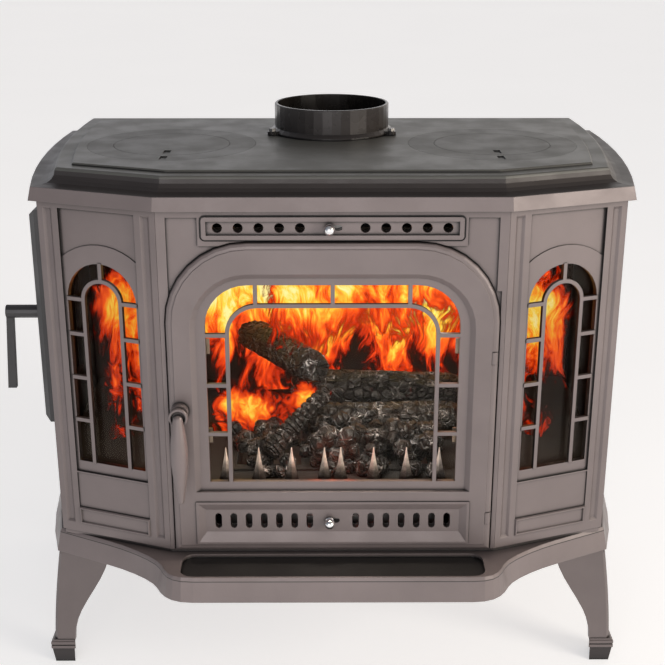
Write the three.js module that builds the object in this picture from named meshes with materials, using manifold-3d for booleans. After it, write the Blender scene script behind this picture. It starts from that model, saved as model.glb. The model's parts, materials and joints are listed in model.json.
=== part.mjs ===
// Wood cookstove with a bay front: cast panels, a top with two hobs, an arched fire door,
// a loading door in the left wall and four cabriole legs.
// Millimetres, +Z up. The stove is drawn with x = 0 on its middle plane, y = 0 on the face
// of the front panel (the front looks along -y) and z = 0 on the floor, and the finished
// group is then moved so that its origin is the middle of its box, on the floor.

import * as THREE from 'three';
import { mergeVertices } from 'three/addons/utils/BufferGeometryUtils.js';
import Module from 'manifold-3d';

const wasm = await Module();
wasm.setup();

// ---------------------------------------------------------------- driving dimensions

const GAP = 0.3; // between pieces that rest on each other
const RUN_GAP = 0.5; // between pieces that slide or turn on each other
const BURY = 2; // how far a joined feature reaches into what carries it

// body plan
const FRONT_HALF = 213;
const BAY_DEPTH = 58;
const BODY_DEPTH = 436;
const BULGE_X = 394.5; // widest half width of the bowed sides
const BULGE_Y = 343; // where the sides are widest
const SIDE_RADIUS = 1480;
const FRONT_THICK = 14;
const BAY_THICK = 10;
const WALL_THICK = 8;

// heights, stacked from the floor
const LEG_HEIGHT = 184;
const SKIRT_HEIGHT = 32;
const PLINTH_HEIGHT = 4.7;
const BODY_HEIGHT = 458.7;
const FASCIA_DROP = 2;
const FASCIA_HEIGHT = 17;
const COVE_HEIGHT = 19; // from the fascia's top to the flat, its ledge and roll included
const RAISED_STEP = 3;

// base casting
const BASE_PLATE_THICK = 10;
const SKIRT_WALL = 8;
const SKIRT_TOP_OUT = 2.5;
const SKIRT_EDGE_OUT = 4.5;
const SKIRT_BOTTOM_OUT = 10;
const SKIRT_EDGE_HEIGHT = 4;
const LIP_DEPTH = 62;
const LIP_FLAT_HALF = 178;
const LIP_TURN = [219, -32.5]; // where the lip's S curve changes from convex to concave
const LIP_TURN_ANGLE = 67; // degrees from the front, at that point
const LIP_CONVEX = [30, 22]; // reach of the S curve's two handles before the turn
const LIP_CONCAVE = [18, 40]; // and after it
const LIP_BAY_SHARE = 93; // where the lip's curve meets the bay, measured along the bay
const BASE_CORNER_BACK = 11; // how far the base's corners lie behind the body's
const SKIRT_SIDE_FLARE = [4, 4, 10]; // more bulge at the sides: top, edge, bottom
const TRAY_DEPTH = 5;
const TRAY_RIM = 3;
const TRAY_HALF = 196;
const TRAY_BACK = 5;
const TRAY_CORNER = 16;
const PLINTH_INSET = 3;
const PLINTH_WIDTH = 12;

// top plate
const PLATE_OUT = 10;
const FASCIA_LEAN = 4;
const LEDGE_WIDTH = 14;
const LEDGE_RISE = 0.6;
const COVE_WIDTH = 16.6;
const ROLL = 3;
const PLATE_THICK = 10;
const RIM_WIDTH = 26;
const RIM_CLEAR = 2;
const RAISED_INSET = 18;
const RAISED_EDGE = 1.5;

// hobs
const HOB_X = 216;
const HOB_Y = 217;
const HOB_RADIUS = 113;
const HOB_LEDGE = 9;
const HOB_THICK = 6;
const LID_RADIUS = 78;
const LID_LEDGE = 8;
const LID_THICK = 3;
const LID_BOSS = 3;
const LIFTER_LENGTH = 22;
const LIFTER_WIDTH = 9;
const LIFTER_DEPTH = 1.6;

// flue collar
const COLLAR_Y = 322;
const COLLAR_BORE = 77;
const COLLAR_WALL = 4;
const COLLAR_HEIGHT = 40;
const COLLAR_BEAD_OUT = 5.5;
const COLLAR_BEAD_HEIGHT = 5;
const LUG_OUT = 10;
const LUG_TURN = 24; // degrees forward of the sides
const LUG_RADIUS = 7;
const LUG_HEIGHT = 5;
const SCREW_RADIUS = 3;
const SCREW_HEAD = 5.5;
const SCREW_HEAD_HEIGHT = 4;

// upper air bar in the front panel
const AIR_BAR_HALF = 158;
const AIR_BAR_HEIGHT = 28;
const AIR_BAR_FROM_TOP = 10;
const AIR_BAR_FRAME = 5.5;
const AIR_BAR_CORNER = 4;
const AIR_BAR_PROUD = 2;
const AIR_BAR_SUNK = 1.5;
const AIR_BAR_GROOVE = 2.2;
const AIR_BAR_GROOVE_DEPTH = 1.5;
const AIR_HOLE_RADIUS = 6.1;
const AIR_HOLE_FIRST = 39.4;
const AIR_HOLE_PITCH = 24.9;
const AIR_HOLES = 5;

// sunk field in each spandrel of the front panel
const SPANDREL_EDGE = 12; // from the front panel's edge
const SPANDREL_FROM_BAR = 5;
const SPANDREL_FROM_TOP = 11;
const SPANDREL_STEP = 4.7; // how far below the door's top it passes under the air bar
const SPANDREL_DEPTH = 2.5;

// lower air bar in the main door
const LOW_BAR_HALF = 177;
const LOW_BAR_HEIGHT = 61;
const LOW_BAR_FROM_BOTTOM = 10;
const LOW_BAR_LIP = 3;
const LOW_BAR_FRAME = 12.5; // lip and sloping side together
const LOW_BAR_RAISE = 2; // how far the slots lie above the bar's middle
const LOW_BAR_PROUD = 1.5;
const LOW_BAR_SUNK = 2.5;
const AIR_SLOT_WIDTH = 8.7;
const AIR_SLOT_HEIGHT = 22;
const AIR_SLOT_FIRST = 29.8;
const AIR_SLOT_PITCH = 19.8;
const AIR_SLOTS = 7;

// air slides and their knobs
const SLIDE_THICK = 2.5;
const SLIDE_MARGIN = 5;
const RAIL_WIDTH = 3;
const RAIL_LIP = 2;
const RAIL_THICK = 2;
const KNOB_RADIUS = 7;
const KNOB_STEM = 2.8;
const KNOB_NECK = 4.3;
const KNOB_STANDOFF = 3;
const KNOB_X = -4;

// main door
const DOOR_MARGIN = 7; // from the door's edge to the front panel's edge
const DOOR_BOTTOM_CLEAR = 1;
const DOOR_TO_BAR = 3.5;
const DOOR_ARCH = 102;
const DOOR_THICK = 12;
const DOOR_SIDE_CLEAR = 1.5;
const DOOR_BACK_CLEAR = 1;
const DOOR_EDGE_WIDTH = 8; // rounded edge, after a small step down from the face
const DOOR_EDGE_DEPTH = 5;
const DOOR_EDGE_STEP = 0.8;
const BEVEL_SIDE = 29.5;
const BEVEL_TOP = 38.5;
const BEVEL_BOTTOM = 85.7;
const BEVEL_WIDTH = 6.7;
const BEVEL_DEPTH = 5;
const BEVEL_ARCH = 72;
const GLASS_RAIL = 12; // from the bevel to the glass opening
const GLASS_TOP_RAIL = 8.4;
const BAR_WIDTH = 5;
const GRILLE_DEPTH = 5;
const DOOR_INNER_ARCH = 24.4; // from the glass opening to the inner arch bar
const DOOR_INNER_ROUND = 40;
const DOOR_TOP_BARS = [-95, 0, 95];
const DOOR_BAR_PITCH = 66.5;
const DOOR_SIDE_BARS = 3;
const DOOR_GLASS_LAP = 8;
const GLASS_THICK = 4;
const ROPE_WIDTH = 8;
const ROPE_DEPTH = 4;
const ROPE_FROM_OPENING = 3;
const LEDGE_SIDE = 34;
const LEDGE_BOTTOM = 14;
const LEDGE_ARCH = 68;
const CLIP_HEIGHT = 20;
const CLIP_LAP = 12; // over the glass
const CLIP_FOOT = 4;
const CLIP_THICK = 2;
const CLIP_FROM_END = [60, 30]; // above the glass opening's foot, below its arch

// main door hinge
const KNUCKLE_HEIGHT = 16;
const KNUCKLE_ROOT = 0.5; // how far its arm reaches into the front panel
const DOOR_PAST_SQUARE = 20; // degrees that the door swings past square to the front
const PIN_RADIUS = 3;
const PIN_REACH = 16;
const HINGE_FROM_END = 46;

// main door handle
const HANDLE_FROM_EDGE = 14;
const HANDLE_HEIGHT = 199.5; // above the door's bottom edge
const SPINDLE_RADIUS = 5;
const HUB_RADIUS = 11;
const HUB_LENGTH = 11;
const HANDLE_STANDOFF = 27.5;
const HANDLE_DISC_RADIUS = 12;
const HANDLE_DISC_THICK = 6;
const GRIP_LENGTH = 117;
const GRIP_RADIUS = 11;
const GRIP_HEAD = 6; // radius at its upper end
const GRIP_TIP = 4;
const GRIP_DOME = 4.5;
const CAM_LENGTH = 24;
const CAM_WIDTH = 11;
const CAM_THICK = 4;
const CAM_HUB_WALL = 2.3;
const CAM_CLEAR = 1.4;

// bay window panels, measured along the bay
const FLUTE_WIDTH = 12.5;
const FLUTE_FLOOR = 6;
const FLUTE_DEPTH = 2.5;
const FLUTE_FROM_EDGE = 8;
const PILASTER_WIDTH = 29;
const FIELD_DEPTH = 3;
const FIELD_FROM_TOP = 10;
const WINDOW_HALF = 49;
const WINDOW_BOTTOM = 106; // above the panel's bottom edge
const WINDOW_FROM_TOP = 77.7;
const WINDOW_INNER = 22.5;
const WINDOW_BAR_PITCH = 59.7;
const WINDOW_SIDE_BARS = 3;
const SILL_HEIGHT = 91;
const ARCH_LINE_RISE = 19;
const ARCH_LINE_CLEAR = 5;
const HEADER_DEPTH = 1.2;
const SILL_BEAD = 2;
const LOWER_DEPTH = 1.6;
const LOWER_FRAME_FOOT = 13;
const LOWER_FRAME_HEIGHT = 25;
const BEAD_WIDTH = 4;
const BEAD_SLOPE = 1.3;
const BEAD_PROUD = 2.2;
const WINDOW_GLASS_LAP = 7;
const WINDOW_RAIL_LIP = 3;

// side walls and loading door
const SIDE_OPENING_Y = [200, 360];
const SIDE_OPENING_BOTTOM = 124; // above the wall's bottom edge
const SIDE_OPENING_FROM_TOP = 64.7;
const SIDE_DOOR_LAP = 20;
const SIDE_DOOR_PROUD = 15.5;
const SIDE_DOOR_CHAMFER = 8;
const SIDE_DOOR_CLEAR = 2.5;
const SIDE_HINGE_OUT = 8;
const SIDE_HINGE_BACK = 12;
const SIDE_KNUCKLE_RADIUS = 6;
const SIDE_KNUCKLE_HEIGHT = 15;
const SIDE_HINGE_FROM_END = 55;
const SIDE_PIN_FOOT = 6;
const SIDE_PIN_HEAD = 2;
const LEVER_FROM_OPENING = 12;
const LEVER_Z = 260; // above the wall's bottom edge
const LEVER_REACH = 44;
const LEVER_LENGTH = 115;
const LEVER_WIDTH = 10;
const LEVER_FOOT_WIDTH = 12;
const LEVER_THICK = 8;
const LEVER_LEAN = 6;
const LEVER_BOSS = 9.5;
const WALL_PANEL_SUNK = 2;
const WALL_PANEL_MARGIN = 48;

// rear
const BACK_THICK = 8;
const SHIELD_THICK = 1.6;
const SHIELD_STANDOFF = 8;
const SHIELD_MARGIN = 60;
const SHIELD_CORNER = 12;
const SPACER_RADIUS = 9;
const SPACER_INSET = 40;
const RIB_WIDTH = 12;
const RIB_DEPTH = 4;
const RIB_SPREAD = 0.6; // share of the half width
const RIB_FOOT = 60;
const RIB_HEAD = 40;

// legs: open at the back and inner side, measured from the outer front edge at the top
const LEG_SET_BACK = 8.5;
const LEG_WALL = 9;
const LEG_CHAMFER = 4;
const LEG_TOP_WIDTH = 69;
const LEG_TOP_DEPTH = 58;
const LEG_FLANGE = 10;
const ANKLE_HEIGHT = 34;
const ANKLE_OUTER = 17;
const ANKLE_WIDTH = 28.5;
const ANKLE_DEPTH = 30;
const LEG_STEPS = 9;
const FOOT_OUTER = 18;
const FOOT_WIDTH = 27.5;
const FOOT_SPLAY = 9; // how much narrower the foot is at its back
const FOOT_FLARE = 3;
const FOOT_DEPTH = 33;
const FOOT_HEIGHT = 21;
const FOOT_COLLAR = 2.5; // how far the foot's two beads stand out
const FOOT_BEAD = 4;
const FOOT_GROOVE = 2.2;
const PAD_U = [-60, -18];
const PAD_V = [12, 52];
const LEG_BOLT_RADIUS = 4;
const LEG_BOLT_HEAD = 8;
const LEG_BOLT_HEAD_HEIGHT = 5;
const LEG_BOLT_DEPTH = 20;
const LEG_BOLT_REACH = 4; // how far the bolt stands out below the leg's flange

// firebox
const FLOOR_FROM_BASE = 76;
const FLOOR_THICK = 8;
const FLOOR_INSET = 19;
const FLOOR_POST = 20;
const FLOOR_POST_X = 250;
const FLOOR_POST_Y = [90, BODY_DEPTH - 80];
const GRATE_HALF = 150;
const GRATE_Y = [70, 330];
const GRATE_THICK = 6;
const GRATE_LEDGE = 8;
const GRATE_BARS = 11;
const GRATE_FRAME = 14;
const GRATE_SLOT_SHARE = 0.54;
const GUARD_Y = 28;
const GUARD_DEPTH = 10;
const GUARD_BAR_HEIGHT = 8;
const SPIKE_HEIGHT = 47;
const SPIKE_WIDTH = 17;
const SPIKE_THICK = 3;
const SPIKE_TIP = 2.4;
const SPIKE_FIRST = 10.7;
const SPIKE_PITCH = 42.9;
const SPIKES = 4;
const GUARD_END = 4; // rail beyond the last spike
const LINER_THICK = 8;
const LINER_HALF = 330;
const LINER_WING = 40;
const SMOKE_SPACE = 85.4; // between the baffle and the top plate
const BAFFLE_THICK = 6;
const BAFFLE_FRONT = 150;
const SHELF_WIDTH = 30;
const SHELF_HEIGHT = 12;
const PAN_HALF = 140;
const PAN_WALL = 1.6;
const PAN_Y = [26, 330];
const PAN_HEIGHT = 50; // low enough to be lifted over the door's sill
const PAN_PULL_HALF = 35;
const PAN_PULL_DEPTH = 6;
const PAN_PULL_DROP = 8;
const PAN_PULL_THICK = 6;

// Logs on the grate. The place of each end is in shares: across the grate from its middle,
// back over the grate's depth, and up from the grate in radii of the thickest log.
const LOG_RADIUS = 33;
const LOG_TAPER = 0.9;
const LOGS = [
  { name: 'log_1', from: [-0.4, 0.8, 1], to: [1.3, 0.76, 1], thick: 1 },
  { name: 'log_2', from: [-0.22, 0.37, 0.85], to: [1.24, 0.42, 0.85], thick: 0.85 },
  { name: 'log_3', from: [-0.58, 0.05, 0.53], to: [-0.06, 0.28, 2.45], thick: 0.48 },
  { name: 'log_4', from: [-0.87, 1.13, 2.87], to: [-0.12, 0.46, 2.87], thick: 0.84 },
];

// ---------------------------------------------------------------- heights that follow

const baseTop = LEG_HEIGHT + SKIRT_HEIGHT;
const basePlateBottom = baseTop - BASE_PLATE_THICK;
const bodyBottom = baseTop + PLINTH_HEIGHT + GAP;
const bodyTop = bodyBottom + BODY_HEIGHT;
const rimSeat = bodyTop + GAP;
const fasciaBottom = rimSeat - FASCIA_DROP;
const fasciaTop = fasciaBottom + FASCIA_HEIGHT;
const flatTop = fasciaTop + COVE_HEIGHT;
const cookTop = flatTop + RAISED_STEP;
const plateUnderside = flatTop - PLATE_THICK;
const floorBottom = baseTop + FLOOR_FROM_BASE;
const floorTop = floorBottom + FLOOR_THICK;
const baffleBottom = plateUnderside - SMOKE_SPACE - BAFFLE_THICK;

// ---------------------------------------------------------------- materials

function iron(color, roughness = 0.55, metalness = 0.35) {
  return new THREE.MeshStandardMaterial({ color, roughness, metalness });
}

const stovePaint = iron(0x8a8080);
const platePaint = iron(0x56554f);
const hobIron = iron(0x4b4a46);
const collarPaint = iron(0x3c3736, 0.4);
const charcoalPaint = iron(0x3d3c3c, 0.5);
const rawIron = iron(0x3a3634, 0.8);
const steel = iron(0x8d8d8b, 0.4, 0.8);
const chrome = iron(0xd8d8d8, 0.15, 1);
const glass = iron(0x221a16, 0.08, 0);
const rope = iron(0x9a958c, 0.95, 0);
const bark = iron(0x2a211c, 0.95, 0);

// ---------------------------------------------------------------- solids

function signedVolume(points, triangles) {
  let sum = 0;
  const a = new THREE.Vector3();
  const b = new THREE.Vector3();
  const c = new THREE.Vector3();
  for (let i = 0; i < triangles.length; i += 3) {
    a.fromArray(points, 3 * triangles[i]);
    b.fromArray(points, 3 * triangles[i + 1]);
    c.fromArray(points, 3 * triangles[i + 2]);
    sum += a.dot(b.cross(c));
  }
  return sum / 6;
}

// A geometry as a solid, turned right side out where a mirror has turned it over.
function solid(shape) {
  if (!shape.isBufferGeometry) return shape;
  const bare = shape.clone();
  bare.deleteAttribute('normal');
  bare.deleteAttribute('uv');
  const merged = mergeVertices(bare, 1e-4);
  const points = Float32Array.from(merged.attributes.position.array);
  const triangles = [];
  const index = merged.index.array;
  for (let i = 0; i < index.length; i += 3) {
    const [a, b, c] = [index[i], index[i + 1], index[i + 2]];
    if (a !== b && b !== c && c !== a) triangles.push(a, b, c);
  }
  const turned = signedVolume(points, triangles) < 0;
  const triVerts = Uint32Array.from(triangles);
  if (turned) {
    for (let i = 0; i < triVerts.length; i += 3) {
      [triVerts[i + 1], triVerts[i + 2]] = [triVerts[i + 2], triVerts[i + 1]];
    }
  }
  return new wasm.Manifold(new wasm.Mesh({ numProp: 3, vertProperties: points, triVerts }));
}

function join(first, ...others) {
  return others.reduce((sum, other) => sum.add(solid(other)), solid(first));
}

function cut(first, ...others) {
  return others.reduce((rest, other) => rest.subtract(solid(other)), solid(first));
}

function common(first, ...others) {
  return others.reduce((rest, other) => rest.intersect(solid(other)), solid(first));
}

function piece(name, shape, material) {
  const mesh = solid(shape).getMesh();
  const geometry = new THREE.BufferGeometry();
  const points = new THREE.BufferAttribute(Float32Array.from(mesh.vertProperties), 3);
  geometry.setAttribute('position', points);
  geometry.setIndex(Array.from(mesh.triVerts));
  geometry.computeVertexNormals();
  const result = new THREE.Mesh(geometry, material);
  result.name = name;
  return result;
}

// ---------------------------------------------------------------- simple shapes

// A box from its lowest to its highest corner.
function box(x0, x1, y0, y1, z0, z1) {
  const shape = new THREE.BoxGeometry(x1 - x0, y1 - y0, z1 - z0);
  return shape.translate((x0 + x1) / 2, (y0 + y1) / 2, (z0 + z1) / 2);
}

function post(radius, x, y, z0, z1, sides = 20) {
  const shape = new THREE.CylinderGeometry(radius, radius, z1 - z0, sides);
  return shape.rotateX(Math.PI / 2).translate(x, y, (z0 + z1) / 2);
}

function rodAlongY(radius, x, z, y0, y1, sides = 16) {
  return new THREE.CylinderGeometry(radius, radius, y1 - y0, sides).translate(x, (y0 + y1) / 2, z);
}

function rodAlongX(radius, y, z, x0, x1, sides = 16) {
  const shape = new THREE.CylinderGeometry(radius, radius, x1 - x0, sides);
  return shape.rotateZ(Math.PI / 2).translate((x0 + x1) / 2, y, z);
}

// A turned solid about a vertical axis, from [radius, height] pairs.
function turned(profile, sides) {
  const points = profile.map(([radius, height]) => new THREE.Vector2(radius, height));
  return new THREE.LatheGeometry(points, sides).rotateX(Math.PI / 2);
}

function mirrored(shape) {
  return shape.clone().scale(-1, 1, 1);
}

// A skin through rings of equally many points, closed by its two end rings.
// place(point, level) puts a flat point into space.
function loft(rings, place) {
  const count = rings[0].points.length;
  const clockwise = THREE.ShapeUtils.isClockWise(rings[0].points);
  const ordered = rings.map(({ points }) => (clockwise ? [...points].reverse() : points));
  const positions = rings.flatMap(({ level }, r) => ordered[r].flatMap((p) => place(p, level)));
  const index = [];
  for (let r = 0; r + 1 < rings.length; r += 1) {
    for (let i = 0; i < count; i += 1) {
      const a = r * count + i;
      const b = r * count + ((i + 1) % count);
      index.push(a, b, b + count, a, b + count, a + count);
    }
  }
  const last = (rings.length - 1) * count;
  for (const [a, b, c] of THREE.ShapeUtils.triangulateShape(ordered[0], [])) {
    index.push(c, b, a);
  }
  for (const [a, b, c] of THREE.ShapeUtils.triangulateShape(ordered.at(-1), [])) {
    index.push(last + a, last + b, last + c);
  }
  const shape = new THREE.BufferGeometry();
  shape.setAttribute('position', new THREE.Float32BufferAttribute(positions, 3));
  shape.setIndex(index);
  return shape;
}

const inPlan = (p, level) => [p.x, p.y, level];
const onFace = (p, level) => [p.x, level, p.y];
const onSide = (p, level) => [level, p.x, p.y];

function prism(points, z0, z1) {
  return loft([{ points, level: z0 }, { points, level: z1 }], inPlan);
}

function slab(points, y0, y1) {
  return loft([{ points, level: y0 }, { points, level: y1 }], onFace);
}

const point = (x, y) => new THREE.Vector2(x, y);

function rectangle(x0, x1, y0, y1) {
  return [point(x0, y0), point(x1, y0), point(x1, y1), point(x0, y1)];
}

function arcPoints(x, y, radius, from, to, steps) {
  const points = [];
  for (let i = 0; i <= steps; i += 1) {
    const angle = THREE.MathUtils.degToRad(from + ((to - from) * i) / steps);
    points.push(point(x + radius * Math.cos(angle), y + radius * Math.sin(angle)));
  }
  return points;
}

const ARCH_STEPS = 8;
const DOOR_EDGE_STEPS = 3;

// An upright opening with a square foot and two rounded upper corners.
function arch({ half, bottom, top, radius, x = 0, steps = ARCH_STEPS }) {
  const right = arcPoints(x + half - radius, top - radius, radius, 0, 90, steps);
  const left = arcPoints(x - half + radius, top - radius, radius, 90, 180, steps);
  if (half - radius < 0.01) left.shift();
  return [point(x - half, bottom), point(x + half, bottom), ...right, ...left];
}

// The same opening made smaller all round by a distance.
function archInside(opening, distance, foot = distance) {
  return {
    ...opening,
    half: opening.half - distance,
    bottom: opening.bottom + foot,
    top: opening.top - distance,
    radius: opening.radius - distance,
  };
}

// The same rectangle made smaller all round by a distance.
function rectangleInside({ x0, x1, z0, z1 }, distance) {
  return { x0: x0 + distance, x1: x1 - distance, z0: z0 + distance, z1: z1 - distance };
}

const framePoints = ({ x0, x1, z0, z1 }) => rectangle(x0, x1, z0, z1);

function roundedFrame({ x0, x1, z0, z1 }, radius) {
  return roundedRectangle(x0, x1, z0, z1, radius);
}

function archRing(opening, width, y0, y1) {
  const outer = slab(arch(opening), y0, y1);
  return cut(outer, slab(arch(archInside(opening, width)), y0 - BURY, y1 + BURY));
}

function roundedRectangle(x0, x1, y0, y1, radius, steps = 4) {
  return [
    ...arcPoints(x1 - radius, y0 + radius, radius, -90, 0, steps),
    ...arcPoints(x1 - radius, y1 - radius, radius, 0, 90, steps),
    ...arcPoints(x0 + radius, y1 - radius, radius, 90, 180, steps),
    ...arcPoints(x0 + radius, y0 + radius, radius, 180, 270, steps),
  ];
}

function hexHead(radius, x, y, z0, height) {
  return post(radius, x, y, z0, z0 + height, 6);
}

// ---------------------------------------------------------------- body plan

const SIDE_STEPS = 7;

// Half width of the bowed side, a distance outside the body.
function sideX(y, out = 0) {
  const radius = SIDE_RADIUS + out;
  return BULGE_X - SIDE_RADIUS + Math.sqrt(radius ** 2 - (y - BULGE_Y) ** 2);
}

const bayRun = point(sideX(BAY_DEPTH) - FRONT_HALF, BAY_DEPTH);
const bayAngle = Math.atan2(bayRun.y, bayRun.x);
const bayLength = bayRun.length();
const bayAlong = point(Math.cos(bayAngle), Math.sin(bayAngle));

function frontCorner(out) {
  return point(FRONT_HALF + out * Math.tan(bayAngle / 2), -out);
}

// Where the bay's line meets the bowed side, a distance outside the body.
function bayCorner(out) {
  const start = frontCorner(out);
  const fromCentre = start.clone().sub(point(BULGE_X - SIDE_RADIUS, BULGE_Y));
  const along = fromCentre.dot(bayAlong);
  const rest = along ** 2 - fromCentre.lengthSq() + (SIDE_RADIUS + out) ** 2;
  return start.addScaledVector(bayAlong, Math.sqrt(rest) - along);
}

// The bowed side from the bay's corner back, with more bulge in its middle if asked for.
function sideArc(out, backY, setBack = 0, flare = 0) {
  const frontY = bayCorner(out).y + setBack;
  const points = [];
  for (let i = 0; i <= SIDE_STEPS; i += 1) {
    const t = i / SIDE_STEPS;
    const y = THREE.MathUtils.lerp(frontY, backY, t);
    points.push(point(sideX(y, out) + flare * Math.sin(Math.PI * t) ** 0.6, y));
  }
  return points;
}

function bothHalves(right) {
  return [...right, ...right.map((p) => point(-p.x, p.y)).reverse()];
}

function bodyOutline(out, backY = BODY_DEPTH + out) {
  return bothHalves([frontCorner(out), ...sideArc(out, backY)]);
}

// The base outline swings forward to the ash lip in one S curve on each side.
function baseOutline(out, flare) {
  const side = sideArc(out, BODY_DEPTH + out, BASE_CORNER_BACK, flare);
  const front = point(LIP_FLAT_HALF, -LIP_DEPTH - out);
  const angle = THREE.MathUtils.degToRad(LIP_TURN_ANGLE);
  const along = point(Math.cos(angle), Math.sin(angle));
  const turn = point(LIP_TURN[0] + out * along.y, LIP_TURN[1] - out * along.x);
  const meet = frontCorner(out).addScaledVector(bayAlong, LIP_BAY_SHARE);
  const bay = side[0].clone().sub(meet).normalize();
  const convex = new THREE.CubicBezierCurve(
    front,
    front.clone().add(point(LIP_CONVEX[0], 0)),
    turn.clone().addScaledVector(along, -LIP_CONVEX[1]),
    turn,
  );
  const concave = new THREE.CubicBezierCurve(
    turn,
    turn.clone().addScaledVector(along, LIP_CONCAVE[0]),
    meet.clone().addScaledVector(bay, -LIP_CONCAVE[1]),
    meet,
  );
  return bothHalves([...convex.getPoints(5), ...concave.getPoints(5).slice(1), ...side]);
}

// ---------------------------------------------------------------- legs

const skirtSide = sideArc(SKIRT_BOTTOM_OUT, BODY_DEPTH + SKIRT_BOTTOM_OUT, BASE_CORNER_BACK);
const frontSkirtCorner = skirtSide[0];
const rearSkirtCorner = skirtSide.at(-1);

// Where each leg's outer front edge is, and which way the leg goes from there.
const legPlaces = [
  { name: 'front_left', side: -1, corner: frontSkirtCorner, back: 1 },
  { name: 'front_right', side: 1, corner: frontSkirtCorner, back: 1 },
  { name: 'rear_left', side: -1, corner: rearSkirtCorner, back: -1 },
  { name: 'rear_right', side: 1, corner: rearSkirtCorner, back: -1 },
];

function legPoint({ side, corner, back }, u, v) {
  return point(side * (corner.x + u), corner.y + back * (LEG_SET_BACK + v));
}

const boltU = (PAD_U[0] + PAD_U[1]) / 2;
const boltV = (PAD_V[0] + PAD_V[1]) / 2;

function legSolid(side, back) {
  const shoulder = LEG_HEIGHT - GAP;
  const rings = [];
  for (let i = 0; i <= LEG_STEPS; i += 1) {
    const t = i / LEG_STEPS;
    const sweep = (1 - Math.cos(Math.PI * t ** 1.05)) / 2;
    const inner = THREE.MathUtils.lerp(ANKLE_OUTER - ANKLE_WIDTH, -LEG_TOP_WIDTH, sweep);
    const outer = THREE.MathUtils.lerp(ANKLE_OUTER, 0, t ** 1.4);
    const depth = THREE.MathUtils.lerp(ANKLE_DEPTH, LEG_TOP_DEPTH, t ** 2);
    const points = [
      point(inner, 0),
      point(outer - LEG_CHAMFER, 0),
      point(outer, LEG_CHAMFER),
      point(outer, depth),
      point(outer - LEG_WALL, depth),
      point(outer - LEG_WALL, LEG_WALL),
      point(inner, LEG_WALL),
    ];
    rings.push({ points, level: THREE.MathUtils.lerp(ANKLE_HEIGHT, shoulder, t) });
  }
  const footRing = (grow, flare, level) => ({
    points: [
      point(FOOT_OUTER - FOOT_WIDTH - grow, -grow),
      point(FOOT_OUTER + flare + grow, -grow),
      point(FOOT_OUTER + flare + grow, FOOT_DEPTH + grow),
      point(FOOT_OUTER - FOOT_WIDTH + FOOT_SPLAY - grow, FOOT_DEPTH + grow),
    ],
    level,
  });
  const beads = [];
  for (const level of [FOOT_HEIGHT + 1.5, FOOT_HEIGHT + 1.5 + FOOT_BEAD + FOOT_GROOVE]) {
    beads.push(
      footRing(FOOT_COLLAR / 2, FOOT_FLARE - 1, level - 0.7),
      footRing(FOOT_COLLAR, FOOT_FLARE - 1, level),
      footRing(FOOT_COLLAR, FOOT_FLARE - 1, level + FOOT_BEAD),
      footRing(FOOT_COLLAR / 2, FOOT_FLARE - 1, level + FOOT_BEAD + 0.7),
    );
  }
  const foot = loft([
    footRing(0, 0, 0),
    footRing(0.5, FOOT_FLARE, FOOT_HEIGHT),
    ...beads,
    footRing(1, 0, ANKLE_HEIGHT + BURY),
  ], inPlan);
  const whole = join(
    loft(rings, inPlan),
    foot,
    box(-LEG_TOP_WIDTH, 0, 1, LEG_TOP_DEPTH, shoulder - LEG_FLANGE, shoulder),
    box(PAD_U[0], PAD_U[1], PAD_V[0], PAD_V[1], shoulder - BURY, basePlateBottom - GAP),
  );
  const boreFoot = shoulder - LEG_BOLT_DEPTH;
  const bore = post(LEG_BOLT_RADIUS + GAP, boltU, boltV, boreFoot, basePlateBottom, 12);
  return solid(piece('leg', cut(whole, bore)).geometry.scale(side, back, 1));
}

function legs() {
  const group = new THREE.Group();
  for (const place of legPlaces) {
    const { name, side, back } = place;
    const leg = piece(`leg_${name}`, legSolid(side, back), stovePaint);
    const foot = legPoint(place, 0, 0);
    leg.position.set(foot.x, foot.y, 0);
    const end = LEG_HEIGHT - LEG_FLANGE - LEG_BOLT_REACH;
    const shank = post(LEG_BOLT_RADIUS, 0, 0, end, baseTop + GAP + 1, 12);
    const head = hexHead(LEG_BOLT_HEAD, 0, 0, baseTop + GAP, LEG_BOLT_HEAD_HEIGHT);
    const bolt = piece(`leg_bolt_${name}`, join(shank, head), steel);
    const middle = legPoint(place, boltU, boltV);
    bolt.position.set(middle.x, middle.y, 0);
    group.add(leg, bolt);
  }
  return group;
}

// ---------------------------------------------------------------- base casting

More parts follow.
